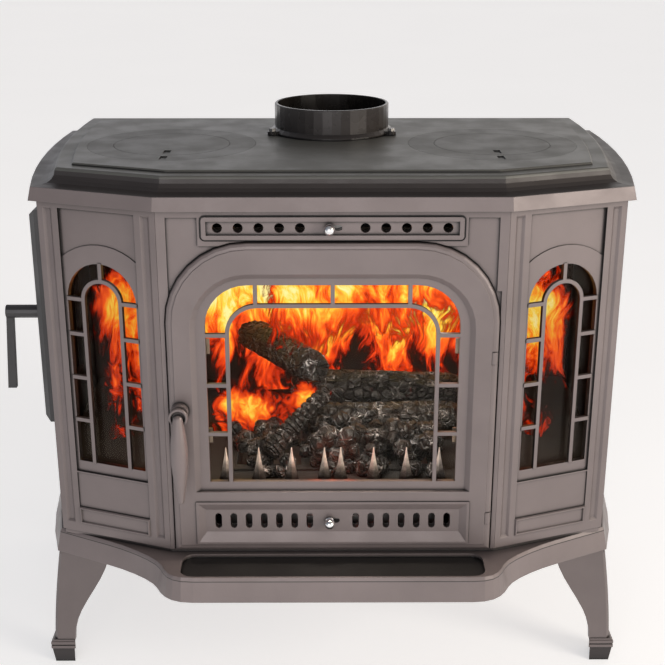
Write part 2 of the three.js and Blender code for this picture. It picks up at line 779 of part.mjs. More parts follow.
function basePlate() {
  const [topFlare, edgeFlare, bottomFlare] = SKIRT_SIDE_FLARE;
  const skirt = loft([
    { points: baseOutline(SKIRT_BOTTOM_OUT, bottomFlare), level: LEG_HEIGHT },
    { points: baseOutline(SKIRT_EDGE_OUT, edgeFlare), level: baseTop - SKIRT_EDGE_HEIGHT },
    { points: baseOutline(SKIRT_TOP_OUT, topFlare), level: baseTop },
  ], inPlan);
  const hollow = loft([
    { points: baseOutline(SKIRT_BOTTOM_OUT - SKIRT_WALL, bottomFlare), level: LEG_HEIGHT - BURY },
    { points: baseOutline(SKIRT_EDGE_OUT - SKIRT_WALL, edgeFlare), level: basePlateBottom },
  ], inPlan);
  const plinthTop = baseTop + PLINTH_HEIGHT;
  const plinth = cut(
    prism(bodyOutline(-PLINTH_INSET), baseTop - BURY, plinthTop),
    prism(bodyOutline(-PLINTH_INSET - PLINTH_WIDTH), baseTop - 2 * BURY, plinthTop + BURY),
  );
  const trayFront = -LIP_DEPTH - SKIRT_TOP_OUT + TRAY_RIM;
  const tray = prism(
    roundedRectangle(-TRAY_HALF, TRAY_HALF, trayFront, -TRAY_BACK, TRAY_CORNER),
    baseTop - TRAY_DEPTH,
    baseTop + BURY,
  );
  const boltHoles = legPlaces.map((place) => {
    const { x, y } = legPoint(place, boltU, boltV);
    return post(LEG_BOLT_RADIUS + GAP, x, y, basePlateBottom - BURY, baseTop + BURY, 12);
  });
  const casting = join(cut(skirt, hollow, tray), plinth);
  return piece('base_plate', cut(casting, ...boltHoles), stovePaint);
}

// ---------------------------------------------------------------- main door outlines

const doorHalf = FRONT_HALF - DOOR_MARGIN;
const doorBottom = bodyBottom + DOOR_BOTTOM_CLEAR;
const airBarTop = bodyTop - AIR_BAR_FROM_TOP;
const airBarBottom = airBarTop - AIR_BAR_HEIGHT;
const airBarZ = (airBarTop + airBarBottom) / 2;
const doorTop = airBarBottom - DOOR_TO_BAR;
const doorFront = -DOOR_THICK / 2;
const doorBack = DOOR_THICK / 2;
const rebateFloor = doorBack + DOOR_BACK_CLEAR;
const hingeX = doorHalf - DOOR_THICK / 2;
const hingeHeights = [doorBottom + HINGE_FROM_END, doorTop - DOOR_ARCH - HINGE_FROM_END];
const handleX = -doorHalf + HANDLE_FROM_EDGE;
const handleZ = doorBottom + HANDLE_HEIGHT;
const camHub = SPINDLE_RADIUS + GAP + CAM_HUB_WALL;

const doorEdge = { half: doorHalf, bottom: doorBottom, top: doorTop, radius: DOOR_ARCH };
const bevelEdge = {
  half: doorHalf - BEVEL_SIDE,
  bottom: doorBottom + BEVEL_BOTTOM,
  top: doorTop - BEVEL_TOP,
  radius: BEVEL_ARCH,
};
const glassOpening = {
  ...archInside(bevelEdge, BEVEL_WIDTH + GLASS_RAIL, GLASS_RAIL),
  top: bevelEdge.top - BEVEL_WIDTH - GLASS_TOP_RAIL,
};
const panelOpening = {
  half: doorHalf - LEDGE_SIDE,
  bottom: doorBottom + LEDGE_BOTTOM,
  top: doorTop - LEDGE_SIDE,
  radius: LEDGE_ARCH,
};
const ropeEdge = archInside(panelOpening, -ROPE_FROM_OPENING - ROPE_WIDTH);

// ---------------------------------------------------------------- front panel

const mitre = Math.tan(bayAngle / 2);
const holeXs = [];
for (let i = 0; i < AIR_HOLES; i += 1) {
  const x = AIR_HOLE_FIRST + i * AIR_HOLE_PITCH;
  holeXs.push(-x, x);
}
const upperTravel = AIR_HOLE_PITCH / 2;
const lowerTravel = AIR_SLOT_PITCH / 2;

function airHoles(y0, y1) {
  return holeXs.map((x) => rodAlongY(AIR_HOLE_RADIUS, x, airBarZ, y0, y1, 12));
}

// The slot that a knob's stem runs in.
function stemSlot(z, travel, y0, y1) {
  const r = KNOB_STEM + RUN_GAP;
  return slab(roundedRectangle(KNOB_X - r, KNOB_X + travel + r, z - r, z + r, r - 0.01, 2), y0, y1);
}

// Two rails that hold an air slide against the back of a casting.
function slideRails(half, z, slideHeight, back) {
  const inner = slideHeight / 2 + RUN_GAP;
  const rails = [-1, 1].map((side) => {
    const far = inner + RAIL_WIDTH;
    const lipIn = inner - RAIL_LIP;
    const seat = back + GAP + SLIDE_THICK + RUN_GAP;
    const zs = (a, b) => (side > 0 ? [z + a, z + b] : [z - b, z - a]);
    return join(
      box(-half, half, back - 1, seat + RAIL_THICK, ...zs(inner, far)),
      box(-half, half, seat, seat + RAIL_THICK, ...zs(lipIn, far)),
    );
  });
  return join(rails[0], rails[1]);
}

const upperSlideHeight = 2 * AIR_HOLE_RADIUS + 2 * SLIDE_MARGIN;
const lastHole = AIR_HOLE_FIRST + (AIR_HOLES - 1) * AIR_HOLE_PITCH;
const upperSlideHalf = lastHole + AIR_HOLE_RADIUS + SLIDE_MARGIN;
const lowerSlideHeight = AIR_SLOT_HEIGHT + 2 * SLIDE_MARGIN;
const lastSlot = AIR_SLOT_FIRST + (AIR_SLOTS - 1) * AIR_SLOT_PITCH;
const lowerSlideHalf = lastSlot + AIR_SLOT_WIDTH / 2 + SLIDE_MARGIN;
const lowBarBottom = doorBottom + LOW_BAR_FROM_BOTTOM;
const lowBarZ = lowBarBottom + LOW_BAR_HEIGHT / 2 + LOW_BAR_RAISE;

// The field between the door's arch and the air bar, stepping in under the bar's end.
function spandrel(side) {
  const archX = doorHalf - DOOR_ARCH;
  const archZ = doorTop - DOOR_ARCH;
  const outerX = FRONT_HALF - SPANDREL_EDGE;
  const barX = AIR_BAR_HALF + SPANDREL_FROM_BAR;
  const stepZ = doorTop - SPANDREL_STEP;
  const top = bodyTop - SPANDREL_FROM_TOP;
  const from = THREE.MathUtils.radToDeg(Math.acos((outerX - archX) / DOOR_ARCH));
  const to = THREE.MathUtils.radToDeg(Math.asin((stepZ - archZ) / DOOR_ARCH));
  const curve = arcPoints(archX, archZ, DOOR_ARCH, from, to, 6);
  const points = [...curve, point(barX, stepZ), point(barX, top), point(outerX, top)];
  return points.map((p) => point(side * p.x, p.y));
}

// How far behind its axis the edge of the leaf comes when the door is fully open.
const pastSquare = THREE.MathUtils.degToRad(DOOR_PAST_SQUARE);
const leafBehindAxis = (DOOR_THICK / 2) * Math.sin(pastSquare) + RUN_GAP;

// A knuckle on the door's axis, its arm beyond the axis and behind the open leaf.
function hingeKnuckle(z) {
  const radius = DOOR_THICK / 2;
  const root = hingeX + radius + DOOR_SIDE_CLEAR + KNUCKLE_ROOT;
  const [z0, z1] = [z - KNUCKLE_HEIGHT / 2, z + KNUCKLE_HEIGHT / 2];
  return join(
    post(radius, hingeX, 0, z0, z1),
    box(hingeX, root, leafBehindAxis, rebateFloor + KNUCKLE_ROOT, z0, z1),
  );
}

// The shallow relief above the arch's spring that the opening leaf turns into.
function hingeRelief() {
  const radius = DOOR_THICK / 2;
  const archZ = doorTop - DOOR_ARCH;
  const clearX = hingeX - radius * Math.tan(pastSquare);
  const rise = Math.sqrt(DOOR_ARCH ** 2 - (clearX - doorHalf + DOOR_ARCH) ** 2);
  const far = hingeX + radius / Math.cos(pastSquare) + RUN_GAP;
  return box(clearX, far, -BURY, leafBehindAxis, archZ, archZ + rise);
}

function pinBore(z0, z1) {
  return post(PIN_RADIUS + RUN_GAP, hingeX, 0, z0, z1, 16);
}

function frontPanel() {
  const side = (y) => FRONT_HALF - y * mitre - GAP / 2;
  const plate = loft([
    { points: rectangle(-side(0), side(0), bodyBottom, bodyTop), level: 0 },
    {
      points: rectangle(-side(FRONT_THICK), side(FRONT_THICK), bodyBottom, bodyTop),
      level: FRONT_THICK,
    },
  ], onFace);
  const bar = { x0: -AIR_BAR_HALF, x1: AIR_BAR_HALF, z0: airBarBottom, z1: airBarTop };
  const barOuter = roundedFrame(bar, AIR_BAR_CORNER);
  const barInner = framePoints(rectangleInside(bar, AIR_BAR_FRAME));
  const grooveEdge = roundedFrame(
    rectangleInside(bar, -AIR_BAR_GROOVE),
    AIR_BAR_CORNER + AIR_BAR_GROOVE,
  );
  const rebate = archInside({ ...doorEdge, bottom: bodyBottom }, -DOOR_SIDE_CLEAR, -BURY);
  const latchWay = box(
    handleX - camHub - CAM_CLEAR,
    handleX + camHub + CAM_CLEAR,
    0,
    FRONT_THICK + BURY,
    handleZ - CAM_LENGTH - CAM_CLEAR,
    handleZ + camHub + CAM_CLEAR,
  );
  const grooved = cut(plate, slab(grooveEdge, -1, AIR_BAR_GROOVE_DEPTH));
  const opened = cut(
    join(grooved, slab(barOuter, -AIR_BAR_PROUD, AIR_BAR_GROOVE_DEPTH + 1)),
    slab(barInner, -AIR_BAR_PROUD - 1, AIR_BAR_SUNK),
    slab(arch(rebate), -AIR_BAR_PROUD - 1, rebateFloor),
    slab(arch(panelOpening), 0, FRONT_THICK + BURY),
    slab(spandrel(-1), -1, SPANDREL_DEPTH),
    slab(spandrel(1), -1, SPANDREL_DEPTH),
    latchWay,
    hingeRelief(),
    stemSlot(airBarZ, upperTravel, -BURY, FRONT_THICK + BURY),
    ...airHoles(-BURY, FRONT_THICK + BURY),
  );
  const carried = join(
    opened,
    slideRails(upperSlideHalf + upperTravel, airBarZ, upperSlideHeight, FRONT_THICK),
    ...hingeHeights.map(hingeKnuckle),
  );
  const bores = hingeHeights.map((z) => pinBore(z - KNUCKLE_HEIGHT, z + KNUCKLE_HEIGHT));
  return piece('front_panel', cut(carried, ...bores), stovePaint);
}

// ---------------------------------------------------------------- air slides and knobs

const slotXs = [];
for (let i = 0; i < AIR_SLOTS; i += 1) {
  const x = AIR_SLOT_FIRST + i * AIR_SLOT_PITCH;
  slotXs.push(-x, x);
}

function airSlots(y0, y1) {
  const half = AIR_SLOT_WIDTH / 2;
  const [z0, z1] = [lowBarZ - AIR_SLOT_HEIGHT / 2, lowBarZ + AIR_SLOT_HEIGHT / 2];
  return slotXs.map((x) => slab(roundedRectangle(x - half, x + half, z0, z1, half - 0.01, 2), y0, y1));
}

function upperAirSlide() {
  const y = FRONT_THICK + GAP;
  const plate = box(
    -upperSlideHalf,
    upperSlideHalf,
    y,
    y + SLIDE_THICK,
    airBarZ - upperSlideHeight / 2,
    airBarZ + upperSlideHeight / 2,
  );
  return piece('upper_air_slide', cut(plate, ...airHoles(y - 1, y + SLIDE_THICK + 1)), steel);
}

function lowerAirSlide() {
  const y = doorBack + GAP;
  const plate = box(
    -lowerSlideHalf,
    lowerSlideHalf,
    y,
    y + SLIDE_THICK,
    lowBarZ - lowerSlideHeight / 2,
    lowBarZ + lowerSlideHeight / 2,
  );
  return piece('lower_air_slide', cut(plate, ...airSlots(y - 1, y + SLIDE_THICK + 1)), steel);
}

// A ball knob on a stem that runs through its casting to the slide behind.
function airKnob(name, face, back, z) {
  const ballY = face - KNOB_STANDOFF - KNOB_RADIUS;
  const ball = new THREE.SphereGeometry(KNOB_RADIUS, 14, 8).translate(KNOB_X, ballY, z);
  const stem = rodAlongY(KNOB_STEM, KNOB_X, z, ballY, back, 12);
  const neck = rodAlongY(KNOB_NECK, KNOB_X, z, ballY, face - 1, 12);
  return piece(name, join(ball, stem, neck), chrome);
}

// ---------------------------------------------------------------- main door

function grilleBars() {
  const y0 = doorFront + BEVEL_DEPTH;
  const y1 = y0 + GRILLE_DEPTH;
  const innerEdge = { ...archInside(glassOpening, DOOR_INNER_ARCH, -1), radius: DOOR_INNER_ROUND };
  const ring = cut(
    slab(arch(innerEdge), y0, y1),
    slab(arch(archInside(innerEdge, BAR_WIDTH, -BURY)), y0 - 1, y1 + 1),
  );
  const bars = [];
  const half = BAR_WIDTH / 2;
  for (const x of DOOR_TOP_BARS) {
    bars.push(box(x - half, x + half, y0, y1, innerEdge.top - 1, glassOpening.top + 1));
  }
  for (let i = 1; i <= DOOR_SIDE_BARS; i += 1) {
    const z = glassOpening.bottom + i * DOOR_BAR_PITCH;
    for (const side of [-1, 1]) {
      const ends = [side * (innerEdge.half - 1), side * (glassOpening.half + 1)];
      bars.push(box(Math.min(...ends), Math.max(...ends), y0, y1, z - half, z + half));
    }
  }
  return [ring, ...bars];
}

// The door's rounded edge: a small step down from the face, then a quarter of an ellipse.
function doorEdgeRings() {
  const rings = [{ points: arch(archInside(doorEdge, DOOR_EDGE_WIDTH)), level: doorFront }];
  for (let i = 0; i <= DOOR_EDGE_STEPS; i += 1) {
    const angle = (Math.PI / 2) * (i / DOOR_EDGE_STEPS);
    const inset = (DOOR_EDGE_WIDTH - DOOR_EDGE_STEP / 2) * (1 - Math.sin(angle));
    const drop = DOOR_EDGE_STEP + (DOOR_EDGE_DEPTH - DOOR_EDGE_STEP) * (1 - Math.cos(angle));
    rings.push({ points: arch(archInside(doorEdge, inset)), level: doorFront + drop });
  }
  return rings;
}

function mainDoor() {
  const leaf = loft([...doorEdgeRings(), { points: arch(doorEdge), level: doorBack }], onFace);
  const bevel = loft([
    { points: arch(archInside(bevelEdge, -1)), level: doorFront - BEVEL_DEPTH / BEVEL_WIDTH },
    { points: arch(archInside(bevelEdge, BEVEL_WIDTH, 0)), level: doorFront + BEVEL_DEPTH },
  ], onFace);
  const bar = {
    x0: -LOW_BAR_HALF,
    x1: LOW_BAR_HALF,
    z0: lowBarBottom,
    z1: lowBarBottom + LOW_BAR_HEIGHT,
  };
  const barFace = doorFront - LOW_BAR_PROUD;
  const barLip = framePoints(rectangleInside(bar, LOW_BAR_LIP));
  const barFloor = rectangle(
    -LOW_BAR_HALF + LOW_BAR_FRAME,
    LOW_BAR_HALF - LOW_BAR_FRAME,
    lowBarZ - lowerSlideHeight / 2,
    lowBarZ + lowerSlideHeight / 2,
  );
  const barSlopes = loft([
    { points: barLip, level: barFace - 1 },
    { points: barLip, level: barFace },
    { points: barFloor, level: doorFront + LOW_BAR_SUNK },
  ], onFace);
  const frame = slab(framePoints(bar), barFace, doorFront + 1);
  const hingeSide = cut(
    box(hingeX, doorHalf + 1, doorFront - 1, doorBack + 1, doorBottom - 1, doorTop),
    post(DOOR_THICK / 2, hingeX, 0, doorBottom - BURY, doorTop + 1),
  );
  const knuckleHalf = KNUCKLE_HEIGHT / 2;
  const notches = hingeHeights.map((z) => {
    const [z0, z1] = [z - knuckleHalf - RUN_GAP, z + knuckleHalf + RUN_GAP];
    return post(DOOR_THICK / 2 + RUN_GAP, hingeX, 0, z0, z1);
  });
  const boreReach = knuckleHalf + PIN_REACH + 1;
  const bores = hingeHeights.map((z) => pinBore(z - boreReach, z + boreReach));
  const opened = cut(
    join(leaf, frame),
    bevel,
    barSlopes,
    slab(arch(glassOpening), doorFront - BURY, doorBack + BURY),
    ...airSlots(doorFront, doorBack + 1),
    stemSlot(lowBarZ, lowerTravel, doorFront - BURY, doorBack + BURY),
    archRing(archInside(ropeEdge, -GAP), ROPE_WIDTH + 2 * GAP, doorBack - ROPE_DEPTH, doorBack + 1),
    rodAlongY(SPINDLE_RADIUS + RUN_GAP, handleX, handleZ, doorFront - 1, doorBack + 1),
    hingeSide,
    ...notches,
    ...bores,
  );
  const carried = join(
    opened,
    ...grilleBars(),
    slideRails(lowerSlideHalf + lowerTravel, lowBarZ, lowerSlideHeight, doorBack),
  );
  return piece('main_door', carried, stovePaint);
}

function mainDoorGlass() {
  const edge = archInside(glassOpening, -DOOR_GLASS_LAP);
  const y = doorBack + GAP;
  return piece('main_door_glass', slab(arch(edge), y, y + GLASS_THICK), glass);
}

function mainDoorGasket() {
  const ring = archRing(ropeEdge, ROPE_WIDTH, doorBack - ROPE_DEPTH + GAP, rebateFloor - GAP);
  return piece('main_door_gasket', ring, rope);
}

// Small steel clips hold the glass on the door's back.
function glassClips() {
  const group = new THREE.Group();
  const glassBack = doorBack + 2 * GAP + GLASS_THICK;
  const edge = archInside(glassOpening, -DOOR_GLASS_LAP);
  const heights = [
    glassOpening.bottom + CLIP_FROM_END[0],
    glassOpening.top - glassOpening.radius - CLIP_FROM_END[1],
  ];
  const outer = edge.half + CLIP_FOOT;
  for (const side of [-1, 1]) {
    const span = (a, b) => [Math.min(side * a, side * b), Math.max(side * a, side * b)];
    heights.forEach((z, i) => {
      const zs = [z - CLIP_HEIGHT / 2, z + CLIP_HEIGHT / 2];
      const tongueXs = span(edge.half - CLIP_LAP, outer);
      const tongue = box(...tongueXs, glassBack, glassBack + CLIP_THICK, ...zs);
      const foot = box(...span(edge.half + GAP, outer), doorBack + GAP, glassBack + 1, ...zs);
      const name = `glass_clip_${i === 0 ? 'lower' : 'upper'}_${side < 0 ? 'left' : 'right'}`;
      group.add(piece(name, join(tongue, foot), steel));
    });
  }
  return group;
}

function doorHingePins() {
  const group = new THREE.Group();
  hingeHeights.forEach((z, i) => {
    const reach = KNUCKLE_HEIGHT / 2 + PIN_REACH;
    const name = `door_hinge_pin_${i === 0 ? 'lower' : 'upper'}`;
    group.add(piece(name, post(PIN_RADIUS, hingeX, 0, z - reach, z + reach, 12), steel));
  });
  return group;
}

// ---------------------------------------------------------------- main door handle

const gripY = doorFront - HANDLE_STANDOFF;

function doorHandleHub() {
  const y1 = doorFront - GAP;
  const y0 = y1 - HUB_LENGTH;
  const boss = rodAlongY(HUB_RADIUS, handleX, handleZ, y0, y1, 20);
  const bore = rodAlongY(SPINDLE_RADIUS + RUN_GAP, handleX, handleZ, y0 - 1, y1 + 1);
  return piece('door_handle_hub', cut(boss, bore), stovePaint);
}

const GRIP_STEPS = 9;

// Radius of the grip, a share of its length below its head.
function gripRadius(t) {
  const ends = THREE.MathUtils.lerp(GRIP_HEAD, GRIP_TIP, t);
  const swell = GRIP_RADIUS - (GRIP_HEAD + GRIP_TIP) / 2;
  return ends + swell * Math.sin(Math.PI * t ** 0.9) ** 1.1;
}

// A disc on the spindle and, in front of it, the grip that hangs from it.
function doorHandle() {
  const spindleEnd = FRONT_THICK + 1 + CAM_THICK;
  const spindle = rodAlongY(SPINDLE_RADIUS, handleX, handleZ, gripY, spindleEnd, 16);
  const discY = gripY + BURY;
  const disc = rodAlongY(HANDLE_DISC_RADIUS, handleX, handleZ, discY, discY + HANDLE_DISC_THICK, 24);
  const profile = [[0, GRIP_DOME], [GRIP_HEAD * 0.7, GRIP_DOME * 0.7]];
  const body = GRIP_LENGTH - GRIP_TIP;
  for (let i = 0; i <= GRIP_STEPS; i += 1) {
    const t = i / GRIP_STEPS;
    profile.push([gripRadius(t), -body * t]);
  }
  profile.push([GRIP_TIP * 0.7, -body - GRIP_TIP * 0.7], [0, -GRIP_LENGTH]);
  const grip = turned(profile, 16).translate(handleX, gripY, handleZ);
  return piece('door_handle', join(spindle, disc, grip), stovePaint);
}

// A latch cam in its own plane, hanging from the spindle that it turns with.
function camOutline(x, z) {
  const half = CAM_WIDTH / 2;
  return [
    ...arcPoints(x, z, camHub, 0, 180, 8),
    point(x - half, z - camHub),
    point(x - half, z - CAM_LENGTH),
    point(x + half, z - CAM_LENGTH),
    point(x + half, z - camHub),
  ];
}

function doorLatchCam() {
  const y0 = FRONT_THICK + 1;
  const plate = slab(camOutline(handleX, handleZ), y0, y0 + CAM_THICK);
  const bore = rodAlongY(SPINDLE_RADIUS + GAP, handleX, handleZ, y0 - 1, y0 + CAM_THICK + 1);
  return piece('door_latch_cam', cut(plate, bore), steel);
}

// ---------------------------------------------------------------- bay window panels

const bayMid = bayLength / 2;
const windowBottom = bodyBottom + WINDOW_BOTTOM;
const windowTop = bodyTop - WINDOW_FROM_TOP;
const windowOpening = {
  half: WINDOW_HALF,
  bottom: windowBottom,
  top: windowTop,
  radius: WINDOW_HALF,
  x: bayMid,
};

const windowGlassHalf = WINDOW_HALF + WINDOW_GLASS_LAP;
const windowGlassBottom = windowBottom - WINDOW_GLASS_LAP;
const windowGlassTop = windowTop + WINDOW_GLASS_LAP;

// The angle between the bay and the tangent of the bowed side where they meet.
const sideLean = Math.asin((BULGE_Y - BAY_DEPTH) / SIDE_RADIUS);
const outerTurn = Math.PI / 2 - sideLean - bayAngle;
const outerMitre = Math.tan(outerTurn / 2);

const windowFieldHalf = bayMid - PILASTER_WIDTH;
const windowFieldTop = bodyTop - FIELD_FROM_TOP;

// The deeper field over the window, its foot a shallow arch.
function windowHeader() {
  const half = windowFieldHalf;
  const foot = windowTop + ARCH_LINE_CLEAR;
  const radius = (half ** 2 + ARCH_LINE_RISE ** 2) / (2 * ARCH_LINE_RISE);
  const sweep = THREE.MathUtils.radToDeg(Math.asin(half / radius));
  const middle = foot + ARCH_LINE_RISE - radius;
  const line = arcPoints(bayMid, middle, radius, 90 - sweep, 90 + sweep, 10);
  return [...line, point(bayMid - half, windowFieldTop), point(bayMid + half, windowFieldTop)];
}

// A sloping-sided channel in each pilaster.
function windowFlutes() {
  const foot = bodyBottom + LOWER_FRAME_FOOT;
  const slope = (FLUTE_WIDTH - FLUTE_FLOOR) / 2;
  return [FLUTE_FROM_EDGE, bayLength - FLUTE_FROM_EDGE - FLUTE_WIDTH].map((x) => {
    const mouth = { x0: x, x1: x + FLUTE_WIDTH, z0: foot, z1: windowFieldTop };
    return loft([
      { points: framePoints(mouth), level: -1 },
      { points: framePoints(mouth), level: 0 },
      { points: framePoints(rectangleInside(mouth, slope)), level: FLUTE_DEPTH },
    ], onFace);
  });
}

// A raised bead around the panel's foot.
function lowerFrame() {
  const foot = bodyBottom + LOWER_FRAME_FOOT;
  const outer = {
    x0: bayMid - windowFieldHalf,
    x1: bayMid + windowFieldHalf,
    z0: foot,
    z1: foot + LOWER_FRAME_HEIGHT,
  };
  const ring = (inset, slope) => loft([
    { points: framePoints(rectangleInside(outer, inset)), level: 1 },
    { points: framePoints(rectangleInside(outer, inset)), level: -0.2 },
    { points: framePoints(rectangleInside(outer, inset + slope)), level: -BEAD_PROUD },
  ], onFace);
  const inner = loft([
    { points: framePoints(rectangleInside(outer, BEAD_WIDTH)), level: 2 },
    { points: framePoints(rectangleInside(outer, BEAD_WIDTH)), level: 0 },
    { points: framePoints(rectangleInside(outer, BEAD_WIDTH - BEAD_SLOPE)), level: -BEAD_PROUD },
    { points: framePoints(rectangleInside(outer, BEAD_WIDTH - BEAD_SLOPE)), level: -2 * BEAD_PROUD },
  ], onFace);
  return cut(ring(0, BEAD_SLOPE), inner);
}

// The bars in the window: an inner arch, and short bars from it to the opening's edge.
function windowGrille() {
  const y0 = FIELD_DEPTH - 1;
  const y1 = y0 + GRILLE_DEPTH;
  const half = BAR_WIDTH / 2;
  const innerArch = archInside(windowOpening, WINDOW_INNER - half, -1);
  const ring = cut(
    slab(arch(innerArch), y0, y1),
    slab(arch(archInside(innerArch, BAR_WIDTH, -BURY)), y0 - 1, y1 + 1),
  );
  const heights = [windowTop - WINDOW_HALF];
  for (let i = 1; i <= WINDOW_SIDE_BARS; i += 1) heights.push(windowBottom + i * WINDOW_BAR_PITCH);
  const reach = innerArch.half - 1;
  const bars = heights.flatMap((z) => [
    box(bayMid - WINDOW_HALF - 1, bayMid - reach, y0, y1, z - half, z + half),
    box(bayMid + reach, bayMid + WINDOW_HALF + 1, y0, y1, z - half, z + half),
  ]);
  return [ring, ...bars, box(bayMid - half, bayMid + half, y0, y1, innerArch.top - 1, windowTop + 1)];
}

// Drawn along the bay: x from the front corner to the side, y back from its face.
function windowPanelSolid() {
  const inner = (y) => y * mitre + GAP / 2;
  const outer = (y) => bayLength - y * outerMitre - GAP / 2;
  const face = (y) => ({ points: rectangle(inner(y), outer(y), bodyBottom, bodyTop), level: y });
  const plate = loft([face(0), face(BAY_THICK)], onFace);
  const sill = bodyBottom + SILL_HEIGHT;
  const [x0, x1] = [bayMid - windowFieldHalf, bayMid + windowFieldHalf];
  const lowerFoot = bodyBottom + LOWER_FRAME_FOOT + LOWER_FRAME_HEIGHT;
  const opened = cut(
    plate,
    slab(rectangle(x0, x1, sill, windowFieldTop), -1, FIELD_DEPTH),
    slab(windowHeader(), -1, FIELD_DEPTH + HEADER_DEPTH),
    slab(rectangle(x0, x1, lowerFoot, sill - SILL_BEAD), -1, LOWER_DEPTH),
    slab(arch(windowOpening), -1, BAY_THICK + 1),
    ...windowFlutes(),
  );
  return join(opened, lowerFrame(), ...windowGrille(), ...windowRails());
}

// Two cast rails behind the opening, in which the pane slides down from above.
function windowRails() {
  const seat = BAY_THICK + 2 * GAP + GLASS_THICK;
  return [-1, 1].flatMap((side) => {
    const near = side * (windowGlassHalf + GAP);
    const span = (from, to) => [bayMid + from, bayMid + to].sort((a, b) => a - b);
    const wall = span(near, near + side * RAIL_WIDTH);
    const lip = span(near - side * (WINDOW_RAIL_LIP + GAP), near + side * RAIL_WIDTH);
    return [
      box(...wall, BAY_THICK - 1, seat + RAIL_THICK, windowGlassBottom, windowGlassTop),
      box(...lip, seat, seat + RAIL_THICK, windowGlassBottom, windowGlassTop),
    ];
  });
}

function windowGlassSolid() {
  const y0 = BAY_THICK + GAP;
  const x0 = bayMid - windowGlassHalf;
  const x1 = bayMid + windowGlassHalf;
  return box(x0, x1, y0, y0 + GLASS_THICK, windowGlassBottom, windowGlassTop);
}

function bayWindows() {
  const group = new THREE.Group();
  for (const side of [-1, 1]) {
    const label = side < 0 ? 'left' : 'right';
    const bay = new THREE.Group();
    bay.position.set(side * FRONT_HALF, 0, 0);
    bay.rotation.z = side * bayAngle;
    const sided = (mesh) => {
      if (side < 0) mesh.geometry.scale(-1, 1, 1);
      return piece(mesh.name, mesh.geometry, mesh.material);
    };
    bay.add(sided(piece(`window_panel_${label}`, windowPanelSolid(), stovePaint)));
    bay.add(sided(piece(`window_glass_${label}`, windowGlassSolid(), glass)));
    group.add(bay);
  }
  return group;
}

// ---------------------------------------------------------------- side walls

const openingZ = [bodyBottom + SIDE_OPENING_BOTTOM, bodyTop - SIDE_OPENING_FROM_TOP];
const sideDoorFace = BULGE_X + SIDE_DOOR_PROUD;
const sideDoorY = [SIDE_OPENING_Y[0] - SIDE_DOOR_LAP, SIDE_OPENING_Y[1] + SIDE_DOOR_LAP];
const sideDoorZ = [openingZ[0] - SIDE_DOOR_LAP, openingZ[1] + SIDE_DOOR_LAP];
const sideHingeY = sideDoorY[1] + SIDE_HINGE_BACK;
const sideHingeX = BULGE_X + SIDE_HINGE_OUT;
const sideHingeZs = [sideDoorZ[0] + SIDE_HINGE_FROM_END, sideDoorZ[1] - SIDE_HINGE_FROM_END];
const sideDoorBack = sideX(sideDoorY[0]) - WALL_THICK; // inside the door's hollow back
const leverY = SIDE_OPENING_Y[0] + LEVER_FROM_OPENING;
const leverZ = bodyBottom + LEVER_Z;

// The right wall in plan: outer arc, then the inner arc back, mitred at the bay.
function wallPlan() {
  const outer = [];
  const inner = [];
  const start = BAY_DEPTH + GAP / 2;
  for (let i = 0; i <= SIDE_STEPS; i += 1) {
    const y = THREE.MathUtils.lerp(start, BODY_DEPTH, i / SIDE_STEPS);
    outer.push(point(sideX(y), y));
  }
  const innerStart = start + WALL_THICK * (outerMitre * Math.cos(sideLean) + Math.sin(sideLean));
  for (let i = 0; i <= SIDE_STEPS; i += 1) {
    const y = THREE.MathUtils.lerp(innerStart, BODY_DEPTH, i / SIDE_STEPS);
    inner.push(point(sideX(y, -WALL_THICK), y));
  }
  return [...outer, ...inner.reverse()];
}

// A shelf on the wall's inner face that carries the baffle's front corner.
function baffleShelf() {
  const top = baffleBottom - GAP;
  const wall = sideX(BAFFLE_FRONT, -WALL_THICK);
  const back = BAFFLE_FRONT + SHELF_WIDTH;
  return box(wall - SHELF_WIDTH, wall + BURY, BAFFLE_FRONT, back, top - SHELF_HEIGHT, top);
}

function rightWall() {
  const wall = prism(wallPlan(), bodyBottom, bodyTop);
  const panel = rectangle(
    BAY_DEPTH + WALL_PANEL_MARGIN,
    BODY_DEPTH - WALL_PANEL_MARGIN,
    bodyBottom + WALL_PANEL_MARGIN,
    bodyTop - WALL_PANEL_MARGIN,
  );
  const block = loft([
    { points: panel, level: sideX(BODY_DEPTH) - WALL_THICK },
    { points: panel, level: BULGE_X + BURY },
  ], onSide);
  const sunk = cut(block, prism(bodyOutline(-WALL_PANEL_SUNK), bodyBottom - 1, bodyTop + 1));
  return piece('side_wall_right', join(cut(wall, sunk), baffleShelf()), stovePaint);
}

function sideKnuckle(z0, z1) {
  return post(SIDE_KNUCKLE_RADIUS, -sideHingeX, sideHingeY, z0, z1, 16);
}

function sidePinBore() {
  return post(PIN_RADIUS + RUN_GAP, -sideHingeX, sideHingeY, sideDoorZ[0], sideDoorZ[1], 16);
}

function leftWall() {
  const wall = mirrored(prism(wallPlan(), bodyBottom, bodyTop));
  const opening = box(
    -BULGE_X - BURY,
    -sideX(BODY_DEPTH) + 3 * WALL_THICK,
    SIDE_OPENING_Y[0],
    SIDE_OPENING_Y[1],
    openingZ[0],
    openingZ[1],
  );
  const lugs = sideHingeZs.map((z) => join(
    sideKnuckle(z, z + SIDE_KNUCKLE_HEIGHT),
    box(
      -sideHingeX,
      -sideX(sideHingeY) + BURY,
      sideHingeY - SIDE_KNUCKLE_RADIUS + 2,
      sideHingeY + SIDE_KNUCKLE_RADIUS,
      z,
      z + SIDE_KNUCKLE_HEIGHT,
    ),
  ));
  const whole = join(cut(wall, opening), mirrored(baffleShelf()), ...lugs);
  return piece('side_wall_left', cut(whole, sidePinBore()), stovePaint);
}

// ---------------------------------------------------------------- loading door

